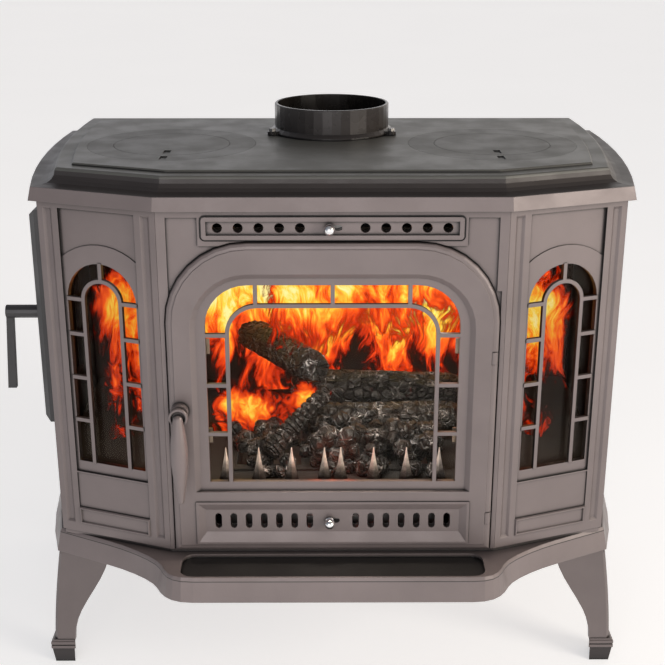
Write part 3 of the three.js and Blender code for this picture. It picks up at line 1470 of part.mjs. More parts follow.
// The door's outline in the side view, grown by a distance.
function sideDoorOutline(grow) {
  const [y0, y1] = sideDoorY;
  const [z0, z1] = sideDoorZ;
  return rectangle(y0 - grow, y1 + grow, z0 - grow, z1 + grow);
}

function sideBlock(grow, x0, x1) {
  const points = sideDoorOutline(grow);
  return loft([{ points, level: x0 }, { points, level: x1 }], onSide);
}

const wholeBody = (out) => prism(bodyOutline(out), bodyBottom, bodyTop);

function sideDoor() {
  const leaf = loft([
    { points: sideDoorOutline(0), level: -sideDoorBack },
    { points: sideDoorOutline(0), level: -sideDoorFace + SIDE_DOOR_CHAMFER },
    { points: sideDoorOutline(-SIDE_DOOR_CHAMFER), level: -sideDoorFace },
  ], onSide);
  const knuckles = sideHingeZs.map((z) => {
    const z0 = z - RUN_GAP - SIDE_KNUCKLE_HEIGHT;
    const z1 = z - RUN_GAP;
    return join(
      sideKnuckle(z0, z1),
      box(
        -sideHingeX - SIDE_KNUCKLE_RADIUS + 1,
        -sideHingeX + SIDE_KNUCKLE_RADIUS,
        sideDoorY[1] - SIDE_DOOR_CHAMFER / 2,
        sideHingeY,
        z0,
        z1,
      ),
    );
  });
  const channel = common(
    cut(sideBlock(-SIDE_DOOR_LAP / 2 + ROPE_WIDTH / 2 + GAP, -sideDoorFace, -sideDoorBack),
      sideBlock(-SIDE_DOOR_LAP / 2 - ROPE_WIDTH / 2 - GAP, -sideDoorFace - 1, -sideDoorBack + 1)),
    wholeBody(ROPE_DEPTH + 1),
  );
  const holeEnd = -BULGE_X + 2 * WALL_THICK;
  const spindleHole = rodAlongX(SPINDLE_RADIUS + RUN_GAP, leverY, leverZ, -sideDoorFace - 1, holeEnd);
  const shaped = cut(leaf, wholeBody(SIDE_DOOR_CLEAR), channel, spindleHole);
  return piece('side_door', cut(join(shaped, ...knuckles), sidePinBore()), charcoalPaint);
}

function sideDoorGasket() {
  const ring = cut(
    sideBlock(-SIDE_DOOR_LAP / 2 + ROPE_WIDTH / 2, -sideDoorFace, -sideDoorBack),
    sideBlock(-SIDE_DOOR_LAP / 2 - ROPE_WIDTH / 2, -sideDoorFace - 1, -sideDoorBack + 1),
  );
  const layer = cut(wholeBody(ROPE_DEPTH + 1 - GAP), wholeBody(GAP));
  return piece('side_door_gasket', common(ring, layer), rope);
}

function sideDoorHingePin() {
  const z0 = sideHingeZs[0] - SIDE_KNUCKLE_HEIGHT - SIDE_PIN_FOOT;
  const z1 = sideHingeZs[1] + SIDE_KNUCKLE_HEIGHT + GAP;
  const rod = post(PIN_RADIUS, -sideHingeX, sideHingeY, z0, z1 + 1, 12);
  const cap = post(PIN_RADIUS + SIDE_PIN_HEAD, -sideHingeX, sideHingeY, z1, z1 + 2 * SIDE_PIN_HEAD, 12);
  return piece('side_door_hinge_pin', join(rod, cap), steel);
}

const tongueX = -sideX(leverY, -WALL_THICK) + 3;

function sideDoorHandle() {
  const leverX = -sideDoorFace - LEVER_REACH;
  const half = LEVER_WIDTH / 2;
  const spindle = rodAlongX(SPINDLE_RADIUS, leverY, leverZ, leverX, tongueX + CAM_THICK);
  const shaft = rodAlongX(LEVER_BOSS, leverY, leverZ, leverX - half, -sideDoorFace - GAP, 12);
  const ring = (x0, x1, level) => ({
    points: rectangle(x0, x1, leverY - LEVER_THICK / 2, leverY + LEVER_THICK / 2),
    level,
  });
  const footX = leverX - LEVER_LEAN;
  const lever = loft([
    ring(leverX - half, leverX + half, leverZ),
    ring(footX - LEVER_FOOT_WIDTH / 2, footX + LEVER_FOOT_WIDTH / 2, leverZ - LEVER_LENGTH),
  ], inPlan);
  return piece('side_door_handle', join(spindle, shaft, lever), charcoalPaint);
}

function sideDoorLatch() {
  const points = camOutline(leverY, leverZ);
  const plate = loft([{ points, level: tongueX }, { points, level: tongueX + CAM_THICK }], onSide);
  const bore = rodAlongX(SPINDLE_RADIUS + GAP, leverY, leverZ, tongueX - 1, tongueX + CAM_THICK + 1);
  return piece('side_door_latch', cut(plate, bore), steel);
}

// ---------------------------------------------------------------- rear

function backPanel() {
  const half = sideX(BODY_DEPTH, -WALL_THICK) - GAP;
  const plate = box(-half, half, BODY_DEPTH - BACK_THICK, BODY_DEPTH, bodyBottom, bodyTop);
  const ribFront = BODY_DEPTH - BACK_THICK - RIB_DEPTH;
  const ribs = [-1, 0, 1].map((side) => {
    const x = side * half * RIB_SPREAD;
    const [x0, x1] = [x - RIB_WIDTH / 2, x + RIB_WIDTH / 2];
    return box(x0, x1, ribFront, BODY_DEPTH - 1, bodyBottom + RIB_FOOT, bodyTop - RIB_HEAD);
  });
  return piece('back_panel', join(plate, ...ribs), rawIron);
}

function rearHeatShield() {
  const half = sideX(BODY_DEPTH) - SHIELD_MARGIN;
  const y0 = BODY_DEPTH + SHIELD_STANDOFF;
  const z0 = bodyBottom + SHIELD_MARGIN;
  const z1 = bodyTop - SHIELD_MARGIN;
  const sheet = slab(roundedRectangle(-half, half, z0, z1, SHIELD_CORNER), y0, y0 + SHIELD_THICK);
  const spacers = [];
  for (const x of [-half + SPACER_INSET, half - SPACER_INSET]) {
    for (const z of [z0 + SPACER_INSET, z1 - SPACER_INSET]) {
      spacers.push(rodAlongY(SPACER_RADIUS, x, z, BODY_DEPTH + GAP, y0 + 1, 12));
    }
  }
  return piece('rear_heat_shield', join(sheet, ...spacers), rawIron);
}

// ---------------------------------------------------------------- top plate

const COVE_STEPS = 4;
const ROLL_STEPS = 2;

// The plate's edge from the fascia's foot up to the flat: outline distance and height.
function plateEdge() {
  const fasciaOut = PLATE_OUT - FASCIA_LEAN;
  const coveOut = fasciaOut - LEDGE_WIDTH;
  const coveFoot = fasciaTop + LEDGE_RISE;
  const coveTop = flatTop - ROLL;
  const edge = [
    [PLATE_OUT, fasciaBottom],
    [fasciaOut, fasciaTop],
    [coveOut, coveFoot],
  ];
  const quarter = Math.PI / 2;
  for (let i = 1; i <= COVE_STEPS; i += 1) {
    const angle = (quarter * i) / COVE_STEPS;
    const rise = (coveTop - coveFoot) * (1 - Math.cos(angle));
    edge.push([coveOut - COVE_WIDTH * Math.sin(angle), coveFoot + rise]);
  }
  for (let i = 1; i <= ROLL_STEPS; i += 1) {
    const angle = (quarter * i) / ROLL_STEPS;
    const rollIn = coveOut - COVE_WIDTH - ROLL * (1 - Math.cos(angle));
    edge.push([rollIn, coveTop + ROLL * Math.sin(angle)]);
  }
  return edge;
}

const HOB_SIDES = 40;
const lugReach = COLLAR_BORE + COLLAR_WALL + LUG_OUT;
const lugAngle = THREE.MathUtils.degToRad(LUG_TURN);
const lugPlace = (side) => point(
  side * lugReach * Math.cos(lugAngle),
  COLLAR_Y - lugReach * Math.sin(lugAngle),
);

function topPlate() {
  const back = BODY_DEPTH + PLATE_OUT;
  const shell = loft(plateEdge().map(([out, level]) => ({ points: bodyOutline(out, back), level })), inPlan);
  const flatIn = plateEdge().at(-1)[0];
  const raisedRing = (inset, level) => ({
    points: bodyOutline(flatIn - RAISED_INSET - inset, back - RAISED_INSET - inset),
    level,
  });
  const raised = loft([
    raisedRing(0, flatTop - BURY),
    raisedRing(0, cookTop - RAISED_EDGE),
    raisedRing(RAISED_EDGE, cookTop),
  ], inPlan);
  const holes = [];
  for (const side of [-1, 1]) {
    const x = side * HOB_X;
    const lug = lugPlace(side);
    holes.push(
      post(HOB_RADIUS + GAP, x, HOB_Y, cookTop - HOB_THICK - GAP, cookTop + 1, HOB_SIDES),
      post(HOB_RADIUS - HOB_LEDGE, x, HOB_Y, plateUnderside - BURY, cookTop, HOB_SIDES),
      post(SCREW_RADIUS + GAP, lug.x, lug.y, plateUnderside - BURY, cookTop + 1, 12),
    );
  }
  const plate = cut(
    join(shell, raised),
    prism(bodyOutline(RIM_CLEAR), fasciaBottom - 1, rimSeat),
    prism(bodyOutline(-RIM_WIDTH), rimSeat - 1, plateUnderside),
    post(COLLAR_BORE, 0, COLLAR_Y, plateUnderside - BURY, cookTop + 1, HOB_SIDES),
    ...holes,
  );
  return piece('top_plate', plate, platePaint);
}

function lifterSlot(x, y) {
  const [halfX, halfY] = [LIFTER_WIDTH / 2, LIFTER_LENGTH / 2];
  return box(x - halfX, x + halfX, y - halfY, y + halfY, cookTop - LIFTER_DEPTH, cookTop + 1);
}

function hobs() {
  const group = new THREE.Group();
  const bottom = cookTop - HOB_THICK;
  const ringHole = LID_RADIUS - LID_LEDGE;
  const lidSeat = cookTop - LID_THICK - GAP;
  const ringProfile = [
    [ringHole, bottom],
    [HOB_RADIUS, bottom],
    [HOB_RADIUS, cookTop],
    [LID_RADIUS + GAP, cookTop],
    [LID_RADIUS + GAP, lidSeat],
    [ringHole, lidSeat],
    [ringHole, bottom],
  ];
  const lidProfile = [
    [0, lidSeat + GAP - LID_BOSS],
    [ringHole - RUN_GAP, lidSeat + GAP - LID_BOSS],
    [ringHole - RUN_GAP, lidSeat + GAP],
    [LID_RADIUS - GAP, lidSeat + GAP],
    [LID_RADIUS - GAP, cookTop],
    [0, cookTop],
  ];
  for (const side of [-1, 1]) {
    const label = side < 0 ? 'left' : 'right';
    const x = side * HOB_X;
    const ring = turned(ringProfile, HOB_SIDES).translate(x, HOB_Y, 0);
    const lid = turned(lidProfile, HOB_SIDES).translate(x, HOB_Y, 0);
    const ringSlot = lifterSlot(x, HOB_Y - (HOB_RADIUS + LID_RADIUS) / 2);
    const lidSlot = lifterSlot(x, HOB_Y - LID_RADIUS + LIFTER_LENGTH);
    group.add(piece(`hob_ring_${label}`, cut(ring, ringSlot), hobIron));
    group.add(piece(`hob_lid_${label}`, cut(lid, lidSlot), hobIron));
  }
  return group;
}

// ---------------------------------------------------------------- flue collar

function flueCollar() {
  const bottom = cookTop + GAP;
  const top = bottom + COLLAR_HEIGHT;
  const outer = COLLAR_BORE + COLLAR_WALL;
  const bead = outer + COLLAR_BEAD_OUT;
  const profile = [
    [COLLAR_BORE, bottom],
    [bead, bottom],
    [bead, bottom + COLLAR_BEAD_HEIGHT * 0.5],
    [outer + 2.5, bottom + COLLAR_BEAD_HEIGHT],
    [outer, bottom + COLLAR_BEAD_HEIGHT + 2],
    [outer, top - 1],
    [outer - 1, top],
    [COLLAR_BORE, top],
    [COLLAR_BORE, bottom],
  ];
  const sleeve = turned(profile, HOB_SIDES).translate(0, COLLAR_Y, 0);
  const lugs = [];
  const bores = [];
  for (const side of [-1, 1]) {
    const { x, y } = lugPlace(side);
    const arm = box(COLLAR_BORE + 1, lugReach, -LUG_RADIUS, LUG_RADIUS, bottom, bottom + LUG_HEIGHT);
    arm.rotateZ(-lugAngle).scale(side, 1, 1).translate(0, COLLAR_Y, 0);
    lugs.push(arm, post(LUG_RADIUS, x, y, bottom, bottom + LUG_HEIGHT, 16));
    bores.push(post(SCREW_RADIUS + GAP, x, y, bottom - 1, bottom + LUG_HEIGHT + 1, 12));
  }
  return piece('flue_collar', cut(join(sleeve, ...lugs), ...bores), collarPaint);
}

function collarBolts() {
  const group = new THREE.Group();
  const seat = cookTop + 2 * GAP + LUG_HEIGHT;
  for (const side of [-1, 1]) {
    const { x, y } = lugPlace(side);
    const shank = post(SCREW_RADIUS, x, y, plateUnderside - 4, seat + 1, 12);
    const head = hexHead(SCREW_HEAD, x, y, seat, SCREW_HEAD_HEIGHT);
    group.add(piece(`flue_collar_bolt_${side < 0 ? 'left' : 'right'}`, join(shank, head), steel));
  }
  return group;
}

// ---------------------------------------------------------------- firebox

function fireboxFloor() {
  const plate = prism(bodyOutline(-FLOOR_INSET), floorBottom, floorTop);
  const hole = box(
    -GRATE_HALF + GRATE_LEDGE,
    GRATE_HALF - GRATE_LEDGE,
    GRATE_Y[0] + GRATE_LEDGE,
    GRATE_Y[1] - GRATE_LEDGE,
    floorBottom - 1,
    floorTop + 1,
  );
  const seat = box(
    -GRATE_HALF - RUN_GAP,
    GRATE_HALF + RUN_GAP,
    GRATE_Y[0] - RUN_GAP,
    GRATE_Y[1] + RUN_GAP,
    floorTop - GRATE_THICK / 2,
    floorTop + 1,
  );
  const posts = [];
  for (const side of [-1, 1]) {
    for (const y of FLOOR_POST_Y) {
      const x = side * FLOOR_POST_X;
      const [x0, x1] = [x - FLOOR_POST / 2, x + FLOOR_POST / 2];
      posts.push(box(x0, x1, y, y + FLOOR_POST, baseTop + GAP, floorBottom + 1));
    }
  }
  return piece('firebox_floor', join(cut(plate, hole, seat), ...posts), rawIron);
}

function grate() {
  const z0 = floorTop - GRATE_THICK / 2 + GAP;
  const plate = box(-GRATE_HALF, GRATE_HALF, GRATE_Y[0], GRATE_Y[1], z0, z0 + GRATE_THICK);
  const pitch = (2 * (GRATE_HALF - GRATE_FRAME)) / GRATE_BARS;
  const half = (pitch * GRATE_SLOT_SHARE) / 2;
  const [y0, y1] = [GRATE_Y[0] + GRATE_FRAME, GRATE_Y[1] - GRATE_FRAME];
  const gaps = [];
  for (let i = 0; i < GRATE_BARS; i += 1) {
    const x = -GRATE_HALF + GRATE_FRAME + pitch * (i + 0.5);
    gaps.push(box(x - half, x + half, y0, y1, z0 - 1, z0 + GRATE_THICK + 1));
  }
  return piece('grate', cut(plate, ...gaps), rawIron);
}

function logGuard() {
  const z0 = floorTop + GAP;
  const reach = SPIKE_FIRST + (SPIKES - 1) * SPIKE_PITCH + SPIKE_WIDTH / 2 + GUARD_END;
  const [y0, y1] = [GUARD_Y - GUARD_DEPTH / 2, GUARD_Y + GUARD_DEPTH / 2];
  const rail = box(-reach, reach, y0, y1, z0, z0 + GUARD_BAR_HEIGHT);
  const foot = z0 + GUARD_BAR_HEIGHT - 1;
  const spikes = [];
  for (let i = 0; i < SPIKES; i += 1) {
    for (const side of [-1, 1]) {
      const x = side * (SPIKE_FIRST + i * SPIKE_PITCH);
      const points = [
        point(x - SPIKE_WIDTH / 2, foot),
        point(x + SPIKE_WIDTH / 2, foot),
        point(x + SPIKE_TIP / 2, foot + SPIKE_HEIGHT),
        point(x - SPIKE_TIP / 2, foot + SPIKE_HEIGHT),
      ];
      spikes.push(slab(points, GUARD_Y - SPIKE_THICK / 2, GUARD_Y + SPIKE_THICK / 2));
    }
  }
  return piece('log_guard', join(rail, ...spikes), rawIron);
}

const linerBack = BODY_DEPTH - FLOOR_INSET - GAP;

function rearLiner() {
  const z0 = floorTop + GAP;
  const z1 = baffleBottom - GAP;
  const y0 = linerBack - LINER_THICK;
  const plate = box(-LINER_HALF, LINER_HALF, y0, linerBack, z0, z1);
  const wings = [-1, 1].map((side) => {
    const [x0, x1] = [side * LINER_HALF, side * (LINER_HALF - LINER_THICK)].sort((a, b) => a - b);
    return box(x0, x1, linerBack - LINER_WING, y0 + 1, z0, z1);
  });
  return piece('rear_liner', join(plate, ...wings), rawIron);
}

function bafflePlate() {
  const half = sideX(BAFFLE_FRONT, -WALL_THICK) - SHELF_WIDTH / 2;
  const plate = box(-half, half, BAFFLE_FRONT, linerBack, baffleBottom, baffleBottom + BAFFLE_THICK);
  return piece('baffle_plate', plate, rawIron);
}

function ashPan() {
  const z0 = baseTop + GAP;
  const z1 = z0 + PAN_HEIGHT;
  const outer = box(-PAN_HALF, PAN_HALF, PAN_Y[0], PAN_Y[1], z0, z1);
  const inner = box(
    -PAN_HALF + PAN_WALL,
    PAN_HALF - PAN_WALL,
    PAN_Y[0] + PAN_WALL,
    PAN_Y[1] - PAN_WALL,
    z0 + PAN_WALL,
    z1 + 1,
  );
  const pullTop = z1 - PAN_PULL_DROP;
  const pullFront = PAN_Y[0] - PAN_PULL_DEPTH;
  const [half, back] = [PAN_PULL_HALF, PAN_Y[0] + 1];
  const pull = box(-half, half, pullFront, back, pullTop - PAN_PULL_THICK, pullTop);
  return piece('ash_pan', join(cut(outer, inner), pull), steel);
}

// Logs, laid on the grate and leant on each other.
function logs() {
  const group = new THREE.Group();
  const bed = floorTop + GRATE_THICK / 2 + 2 * GAP;
  const place = ([across, back, up]) => new THREE.Vector3(
    across * GRATE_HALF,
    THREE.MathUtils.lerp(GRATE_Y[0], GRATE_Y[1], back),
    bed + up * LOG_RADIUS,
  );
  for (const { name, from, to, thick } of LOGS) {
    const [low, high] = [place(from), place(to)];
    const axis = high.clone().sub(low);
    const radius = LOG_RADIUS * thick;
    const shape = new THREE.CylinderGeometry(radius * LOG_TAPER, radius, axis.length(), 12);
    const log = piece(name, shape, bark);
    log.position.copy(low).add(high).multiplyScalar(0.5);
    log.quaternion.setFromUnitVectors(new THREE.Vector3(0, 1, 0), axis.normalize());
    group.add(log);
  }
  return group;
}

// ---------------------------------------------------------------- the stove

const stove = new THREE.Group();
stove.add(
  legs(),
  basePlate(),
  frontPanel(),
  upperAirSlide(),
  airKnob('upper_air_knob', AIR_BAR_SUNK, FRONT_THICK, airBarZ),
  mainDoor(),
  mainDoorGlass(),
  mainDoorGasket(),
  glassClips(),
  doorHingePins(),
  doorHandleHub(),
  doorHandle(),
  doorLatchCam(),
  lowerAirSlide(),
  airKnob('lower_air_knob', doorFront + LOW_BAR_SUNK, doorBack, lowBarZ),
  bayWindows(),
  leftWall(),
  rightWall(),
  sideDoor(),
  sideDoorGasket(),
  sideDoorHingePin(),
  sideDoorHandle(),
  sideDoorLatch(),
  backPanel(),
  rearHeatShield(),
  topPlate(),
  hobs(),
  flueCollar(),
  collarBolts(),
  fireboxFloor(),
  grate(),
  logGuard(),
  rearLiner(),
  bafflePlate(),
  ashPan(),
  logs(),
);

// The origin is the middle of the whole box, on the floor.
const bounds = new THREE.Box3().setFromObject(stove);
const middle = bounds.getCenter(new THREE.Vector3());
stove.position.set(-middle.x, -middle.y, -bounds.min.z);

const part = new THREE.Group();
part.add(stove);
export default part;
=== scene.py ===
# A cast-iron wood cookstove with a bay front.

import json
import math
import random

import bmesh
import bpy
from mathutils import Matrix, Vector, noise


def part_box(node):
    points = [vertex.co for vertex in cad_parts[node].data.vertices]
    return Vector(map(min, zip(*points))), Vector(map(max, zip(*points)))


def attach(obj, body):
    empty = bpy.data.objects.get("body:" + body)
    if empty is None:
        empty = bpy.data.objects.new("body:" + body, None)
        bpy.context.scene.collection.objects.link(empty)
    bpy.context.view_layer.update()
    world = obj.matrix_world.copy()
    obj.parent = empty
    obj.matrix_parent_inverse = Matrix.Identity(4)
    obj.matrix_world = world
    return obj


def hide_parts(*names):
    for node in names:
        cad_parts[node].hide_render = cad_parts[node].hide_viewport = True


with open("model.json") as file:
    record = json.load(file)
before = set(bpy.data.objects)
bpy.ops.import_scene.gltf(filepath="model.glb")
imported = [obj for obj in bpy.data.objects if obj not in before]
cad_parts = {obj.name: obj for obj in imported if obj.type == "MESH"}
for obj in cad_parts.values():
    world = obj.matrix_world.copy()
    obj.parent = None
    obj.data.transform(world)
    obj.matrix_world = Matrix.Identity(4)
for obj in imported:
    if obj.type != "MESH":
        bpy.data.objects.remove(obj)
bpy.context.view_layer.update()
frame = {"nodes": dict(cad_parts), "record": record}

MM = 0.001
BODY_DEPTH = 436
back_low, back_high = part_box("back_panel")
MID_X = (back_low[0] + back_high[0]) / 2
FRONT_Y = back_high[1] - BODY_DEPTH * MM


def at(x, y, z):
    """A point given in mm from the middle of the front panel's face, on the floor."""
    return Vector((MID_X + x * MM, FRONT_Y + y * MM, z * MM))


FIRE = at(0, 225, 450)  # the middle of the firebox


# ---------------------------------------------------------------- camera

FOCAL_MM = 65.34
CAMERA_PITCH = 19.443
CAMERA_TURN = -0.247
CAMERA_PLACE = (-6.27, -1406.26, 1019.6)
SENSOR_MM = 36
VIEW_REACH = 60

camera_data = bpy.data.cameras.new("camera")
camera_data.sensor_width = SENSOR_MM
camera_data.lens = FOCAL_MM
camera_data.clip_end = VIEW_REACH
camera = bpy.data.objects.new("camera", camera_data)
camera.location = at(*CAMERA_PLACE)
camera.rotation_euler = (math.radians(90 - CAMERA_PITCH), 0, math.radians(CAMERA_TURN))
bpy.context.scene.collection.objects.link(camera)
bpy.context.scene.camera = camera


# ---------------------------------------------------------------- material helpers

def fill_ramp(made, stops):
    """Put (position, colour) pairs into a colour ramp node."""
    elements = made.color_ramp.elements
    while len(elements) < len(stops):
        elements.new(0.5)
    for element, (position, colour) in zip(elements, stops):
        element.position = position
        element.color = (*colour, 1)


class Shader:
    """A material's node tree, with short calls to add and link nodes."""

    def __init__(self, name):
        self.material = bpy.data.materials.new(name)
        self.material.use_nodes = True
        self.tree = self.material.node_tree
        self.tree.nodes.clear()
        self.output = self.tree.nodes.new("ShaderNodeOutputMaterial")
        coordinates = self.tree.nodes.new("ShaderNodeTexCoord")
        self.place = coordinates.outputs["Object"]
        self.facing = coordinates.outputs["Normal"]

    def node(self, kind, inputs=None, **settings):
        made = self.tree.nodes.new("ShaderNode" + kind)
        for key, value in settings.items():
            setattr(made, key, value)
        for key, value in (inputs or {}).items():
            if isinstance(value, bpy.types.NodeSocket):
                self.tree.links.new(value, made.inputs[key])
            else:
                made.inputs[key].default_value = value
        return made

    def noise(self, scale, detail=3, rough=0.55, stretch=(1, 1, 1), turn=(0, 0, 0)):
        mapping = {"Vector": self.place, "Scale": stretch, "Rotation": turn}
        where = self.node("Mapping", mapping).outputs[0]
        return self.noise_at(where, scale, detail, rough)

    def noise_at(self, where, scale, detail, rough, distortion=0):
        values = {
            "Vector": where, "Scale": scale, "Detail": detail, "Roughness": rough,
            "Distortion": distortion,
        }
        return self.node("TexNoise", values, noise_type="FBM", normalize=True).outputs["Fac"]

    def math(self, operation, a, b=0.0):
        return self.node("Math", {0: a, 1: b}, operation=operation).outputs[0]

    def vector(self, operation, a, b=(0, 0, 0)):
        return self.node("VectorMath", {0: a, 1: b}, operation=operation).outputs[0]

    def dot(self, a, b):
        return self.node("VectorMath", {0: a, 1: b}, operation="DOT_PRODUCT").outputs["Value"]

    def span(self, value, low, high, to_low=0.0, to_high=1.0, smooth=True):
        kind = "SMOOTHSTEP" if smooth else "LINEAR"
        values = {
            "Value": value, "From Min": low, "From Max": high, "To Min": to_low, "To Max": to_high,
        }
        return self.node("MapRange", values, interpolation_type=kind).outputs["Result"]

    def ramp(self, value, stops):
        made = self.node("ValToRGB", {"Fac": value})
        fill_ramp(made, stops)
        return made.outputs["Color"]

    def mix(self, factor, a, b):
        made = self.node("Mix", data_type="RGBA", blend_type="MIX")
        for socket, value in (("Factor_Float", factor), ("A_Color", a), ("B_Color", b)):
            target = next(s for s in made.inputs if s.identifier == socket)
            if isinstance(value, bpy.types.NodeSocket):
                self.tree.links.new(value, target)
            else:
                target.default_value = (*value, 1) if isinstance(value, tuple) else value
        return next(s for s in made.outputs if s.identifier == "Result_Color")

    def split(self, axis):
        return self.node("SeparateXYZ", {"Vector": self.place}).outputs[axis]

    def bump(self, height, strength, distance, normal=None):
        values = {"Height": height, "Strength": strength, "Distance": distance}
        if normal:
            values["Normal"] = normal
        return self.node("Bump", values).outputs[0]

    def rounded(self, radius):
        return self.node("Bevel", {"Radius": radius}, samples=4).outputs[0]

    def shaded(self, colour):
        """The colour made darker in corners and grooves, most in the narrow ones: painted shade."""
        broad = self.node("AmbientOcclusion", {"Distance": 0.02}, samples=6).outputs["AO"]
        narrow = self.node("AmbientOcclusion", {"Distance": 0.005}, samples=8).outputs["AO"]
        corners = self.span(broad, 0.3, 0.95, 0.45, 1.0)
        grooves = self.span(narrow, 0.45, 0.97, 0.05, 1.0)
        return self.scaled(colour, self.math("MULTIPLY", corners, grooves))

    def scaled(self, colour, factor):
        return self.node("VectorMath", {0: colour, 3: factor}, operation="SCALE").outputs[0]

    def sooted(self, colour, depth):
        """The colour blackened behind a depth in mm, on what faces the middle of the firebox."""
        inward = self.vector("NORMALIZE", self.vector("SUBTRACT", tuple(FIRE), self.place))
        toward = self.dot(inward, self.facing)
        soot_stops = [(0.3, (0.004, 0.0035, 0.003)), (0.7, (0.016, 0.014, 0.013))]
        soot = self.ramp(self.noise(24, 4, 0.6), soot_stops)
        inside = self.span(self.split("Y"), at(0, depth, 0).y, at(0, depth + 2, 0).y)
        return self.mix(self.math("MULTIPLY", self.span(toward, 0.08, 0.3), inside), colour, soot)

    def surface(self, shader):
        self.tree.links.new(shader, self.output.inputs["Surface"])
        return self.material

    def solid(self, inputs):
        return self.surface(self.node("BsdfPrincipled", inputs).outputs[0])


def linear(red, green, blue):
    """A colour as seen, 0 to 255, in the linear values that a shader takes."""
    shares = (v / 255 for v in (red, green, blue))
    return tuple(((v + 0.055) / 1.055) ** 2.4 if v > 0.04045 else v / 12.92 for v in shares)


EDGE_RADIUS = 0.0012
EDGE_WEAR_AND_HIGHLIGHT = 0.16
BAND_BLEND = 0.0003


def cast_paint(name, colour, rough=0.42, grain=0.25, spread=0.10, bands=(), soot=4):
    """Satin stove paint over fine sand-cast iron, lighter on its edges from wear and a painted
    highlight.

    bands are (height, colour) pairs: what lies below a height in metres has its colour.
    soot is the depth in mm behind which the side toward the fire is black, or None."""
    s = Shader(name)
    cloud = s.noise(7, 4, 0.6)
    fine = s.noise(420, 3, 0.6)
    speck = s.noise(1500, 2, 0.5)
    tone = colour
    for height, low_colour in bands:
        above = s.span(s.split("Z"), height - BAND_BLEND, height + BAND_BLEND)
        tone = s.mix(above, low_colour, tone)
    shade = s.span(cloud, 0.32, 0.68, 1 - spread, 1 + spread, smooth=False)
    shade = s.math("MULTIPLY", shade, s.span(speck, 0.55, 0.8, 1, 0.94))
    base = s.scaled(tone, shade)
    normal = s.rounded(EDGE_RADIUS)
    geometry = s.node("NewGeometry").outputs["Normal"]
    on_edge = s.span(s.dot(normal, geometry), 0.995, 0.90, 0, 1)
    # the edges made lighter: partly wear, partly a painted highlight
    rubbed_and_lit = s.span(s.noise(60, 3), 0.4, 0.65, EDGE_WEAR_AND_HIGHLIGHT * 0.5, EDGE_WEAR_AND_HIGHLIGHT)
    worn_and_highlit = s.math("MULTIPLY", on_edge, rubbed_and_lit)
    base = s.mix(worn_and_highlit, base, tuple(min(1, v * 2.4 + 0.03) for v in colour))
    # painted shade in corners and grooves
    base = s.shaded(base)
    if soot is not None:
        base = s.sooted(base, soot)
    gloss = s.span(s.noise(22, 3), 0.3, 0.7, rough - 0.06, rough + 0.08)
    height = s.math("ADD", s.math("MULTIPLY", fine, 0.7), s.math("MULTIPLY", cloud, 1.5))
    skin = s.bump(height, grain, 0.0006, normal)
    return s.solid({
        "Base Color": base, "Roughness": gloss, "Metallic": 0.25, "Normal": skin,
        "Specular IOR Level": 0.5, "Coat Weight": 0.12, "Coat Roughness": 0.3,
    })


def sooty_iron(name, colour, rough=0.8):
    s = Shader(name)
    soot = s.noise(18, 5, 0.65)
    ash = s.noise(90, 4, 0.6)
    dark = tuple(v * 0.5 for v in colour)
    pale = tuple(v * 1.5 for v in colour)
    base = s.ramp(soot, [(0.35, dark), (0.7, pale)])
    base = s.mix(s.span(ash, 0.62, 0.75, 0, 0.5), base, (0.04, 0.036, 0.034))
    skin = s.bump(s.noise(300, 4), 0.5, 0.001)
    return s.solid({"Base Color": base, "Roughness": rough, "Metallic": 0.1, "Normal": skin})


def drawn_steel(name, colour=(0.36, 0.35, 0.34)):
    s = Shader(name)
    grain = s.noise(60, 4, 0.6, stretch=(1, 1, 14))
    base = s.ramp(grain, [(0.3, tuple(v * 0.75 for v in colour)), (0.75, colour)])
    gloss = s.span(s.noise(30), 0.3, 0.7, 0.3, 0.5)
    skin = s.bump(grain, 0.2, 0.0004, s.rounded(0.0006))
    return s.solid({"Base Color": base, "Roughness": gloss, "Metallic": 0.9, "Normal": skin})


def chrome(name):
    s = Shader(name)
    haze = s.span(s.noise(80, 4), 0.4, 0.75, 0.06, 0.16)
    base = s.ramp(s.noise(25, 3), [(0.3, (0.74, 0.74, 0.76)), (0.7, (0.86, 0.86, 0.87))])
    skin = s.bump(s.noise(500, 2), 0.03, 0.0003)
    return s.solid({"Base Color": base, "Roughness": haze, "Metallic": 1.0, "Normal": skin})


def stove_glass(name):
    """Clear ceramic glass: what lies behind it shows through, a little browned."""
    s = Shader(name)
    haze = s.noise(9, 4, 0.6)
    tint = s.ramp(haze, [(0.3, (0.93, 0.86, 0.78)), (0.7, (1.0, 0.96, 0.91))])
    through = s.node("BsdfTransparent", {"Color": tint}).outputs[0]
    gloss = s.span(haze, 0.35, 0.7, 0.03, 0.1)
    shine = s.node("BsdfGlossy", {"Color": (0.9, 0.9, 0.9, 1), "Roughness": gloss}).outputs[0]
    share = s.node("Fresnel", {"IOR": 1.45}).outputs[0]
    share = s.math("MULTIPLY", share, 0.12)
    shader = s.node("MixShader", {"Fac": share, 1: through, 2: shine}).outputs[0]
    return s.surface(shader)


def woven_rope(name):
    s = Shader(name)
    values = {"Vector": s.place, "Scale": 160, "Distortion": 2, "Detail": 2}
    weave = s.node("TexWave", values, bands_direction="DIAGONAL")
    strand = weave.outputs["Fac"]
    base = s.ramp(strand, [(0.1, (0.08, 0.075, 0.07)), (0.9, (0.30, 0.28, 0.25))])
    skin = s.bump(strand, 0.8, 0.0008)
    return s.solid({"Base Color": base, "Roughness": 0.95, "Normal": skin})


# ---------------------------------------------------------------- materials

BODY = linear(116, 106, 105)
# The cove's darker colour is partly the plate's own tone and partly painted shade.
COVE_TONE_AND_SHADE = linear(54, 49, 48)
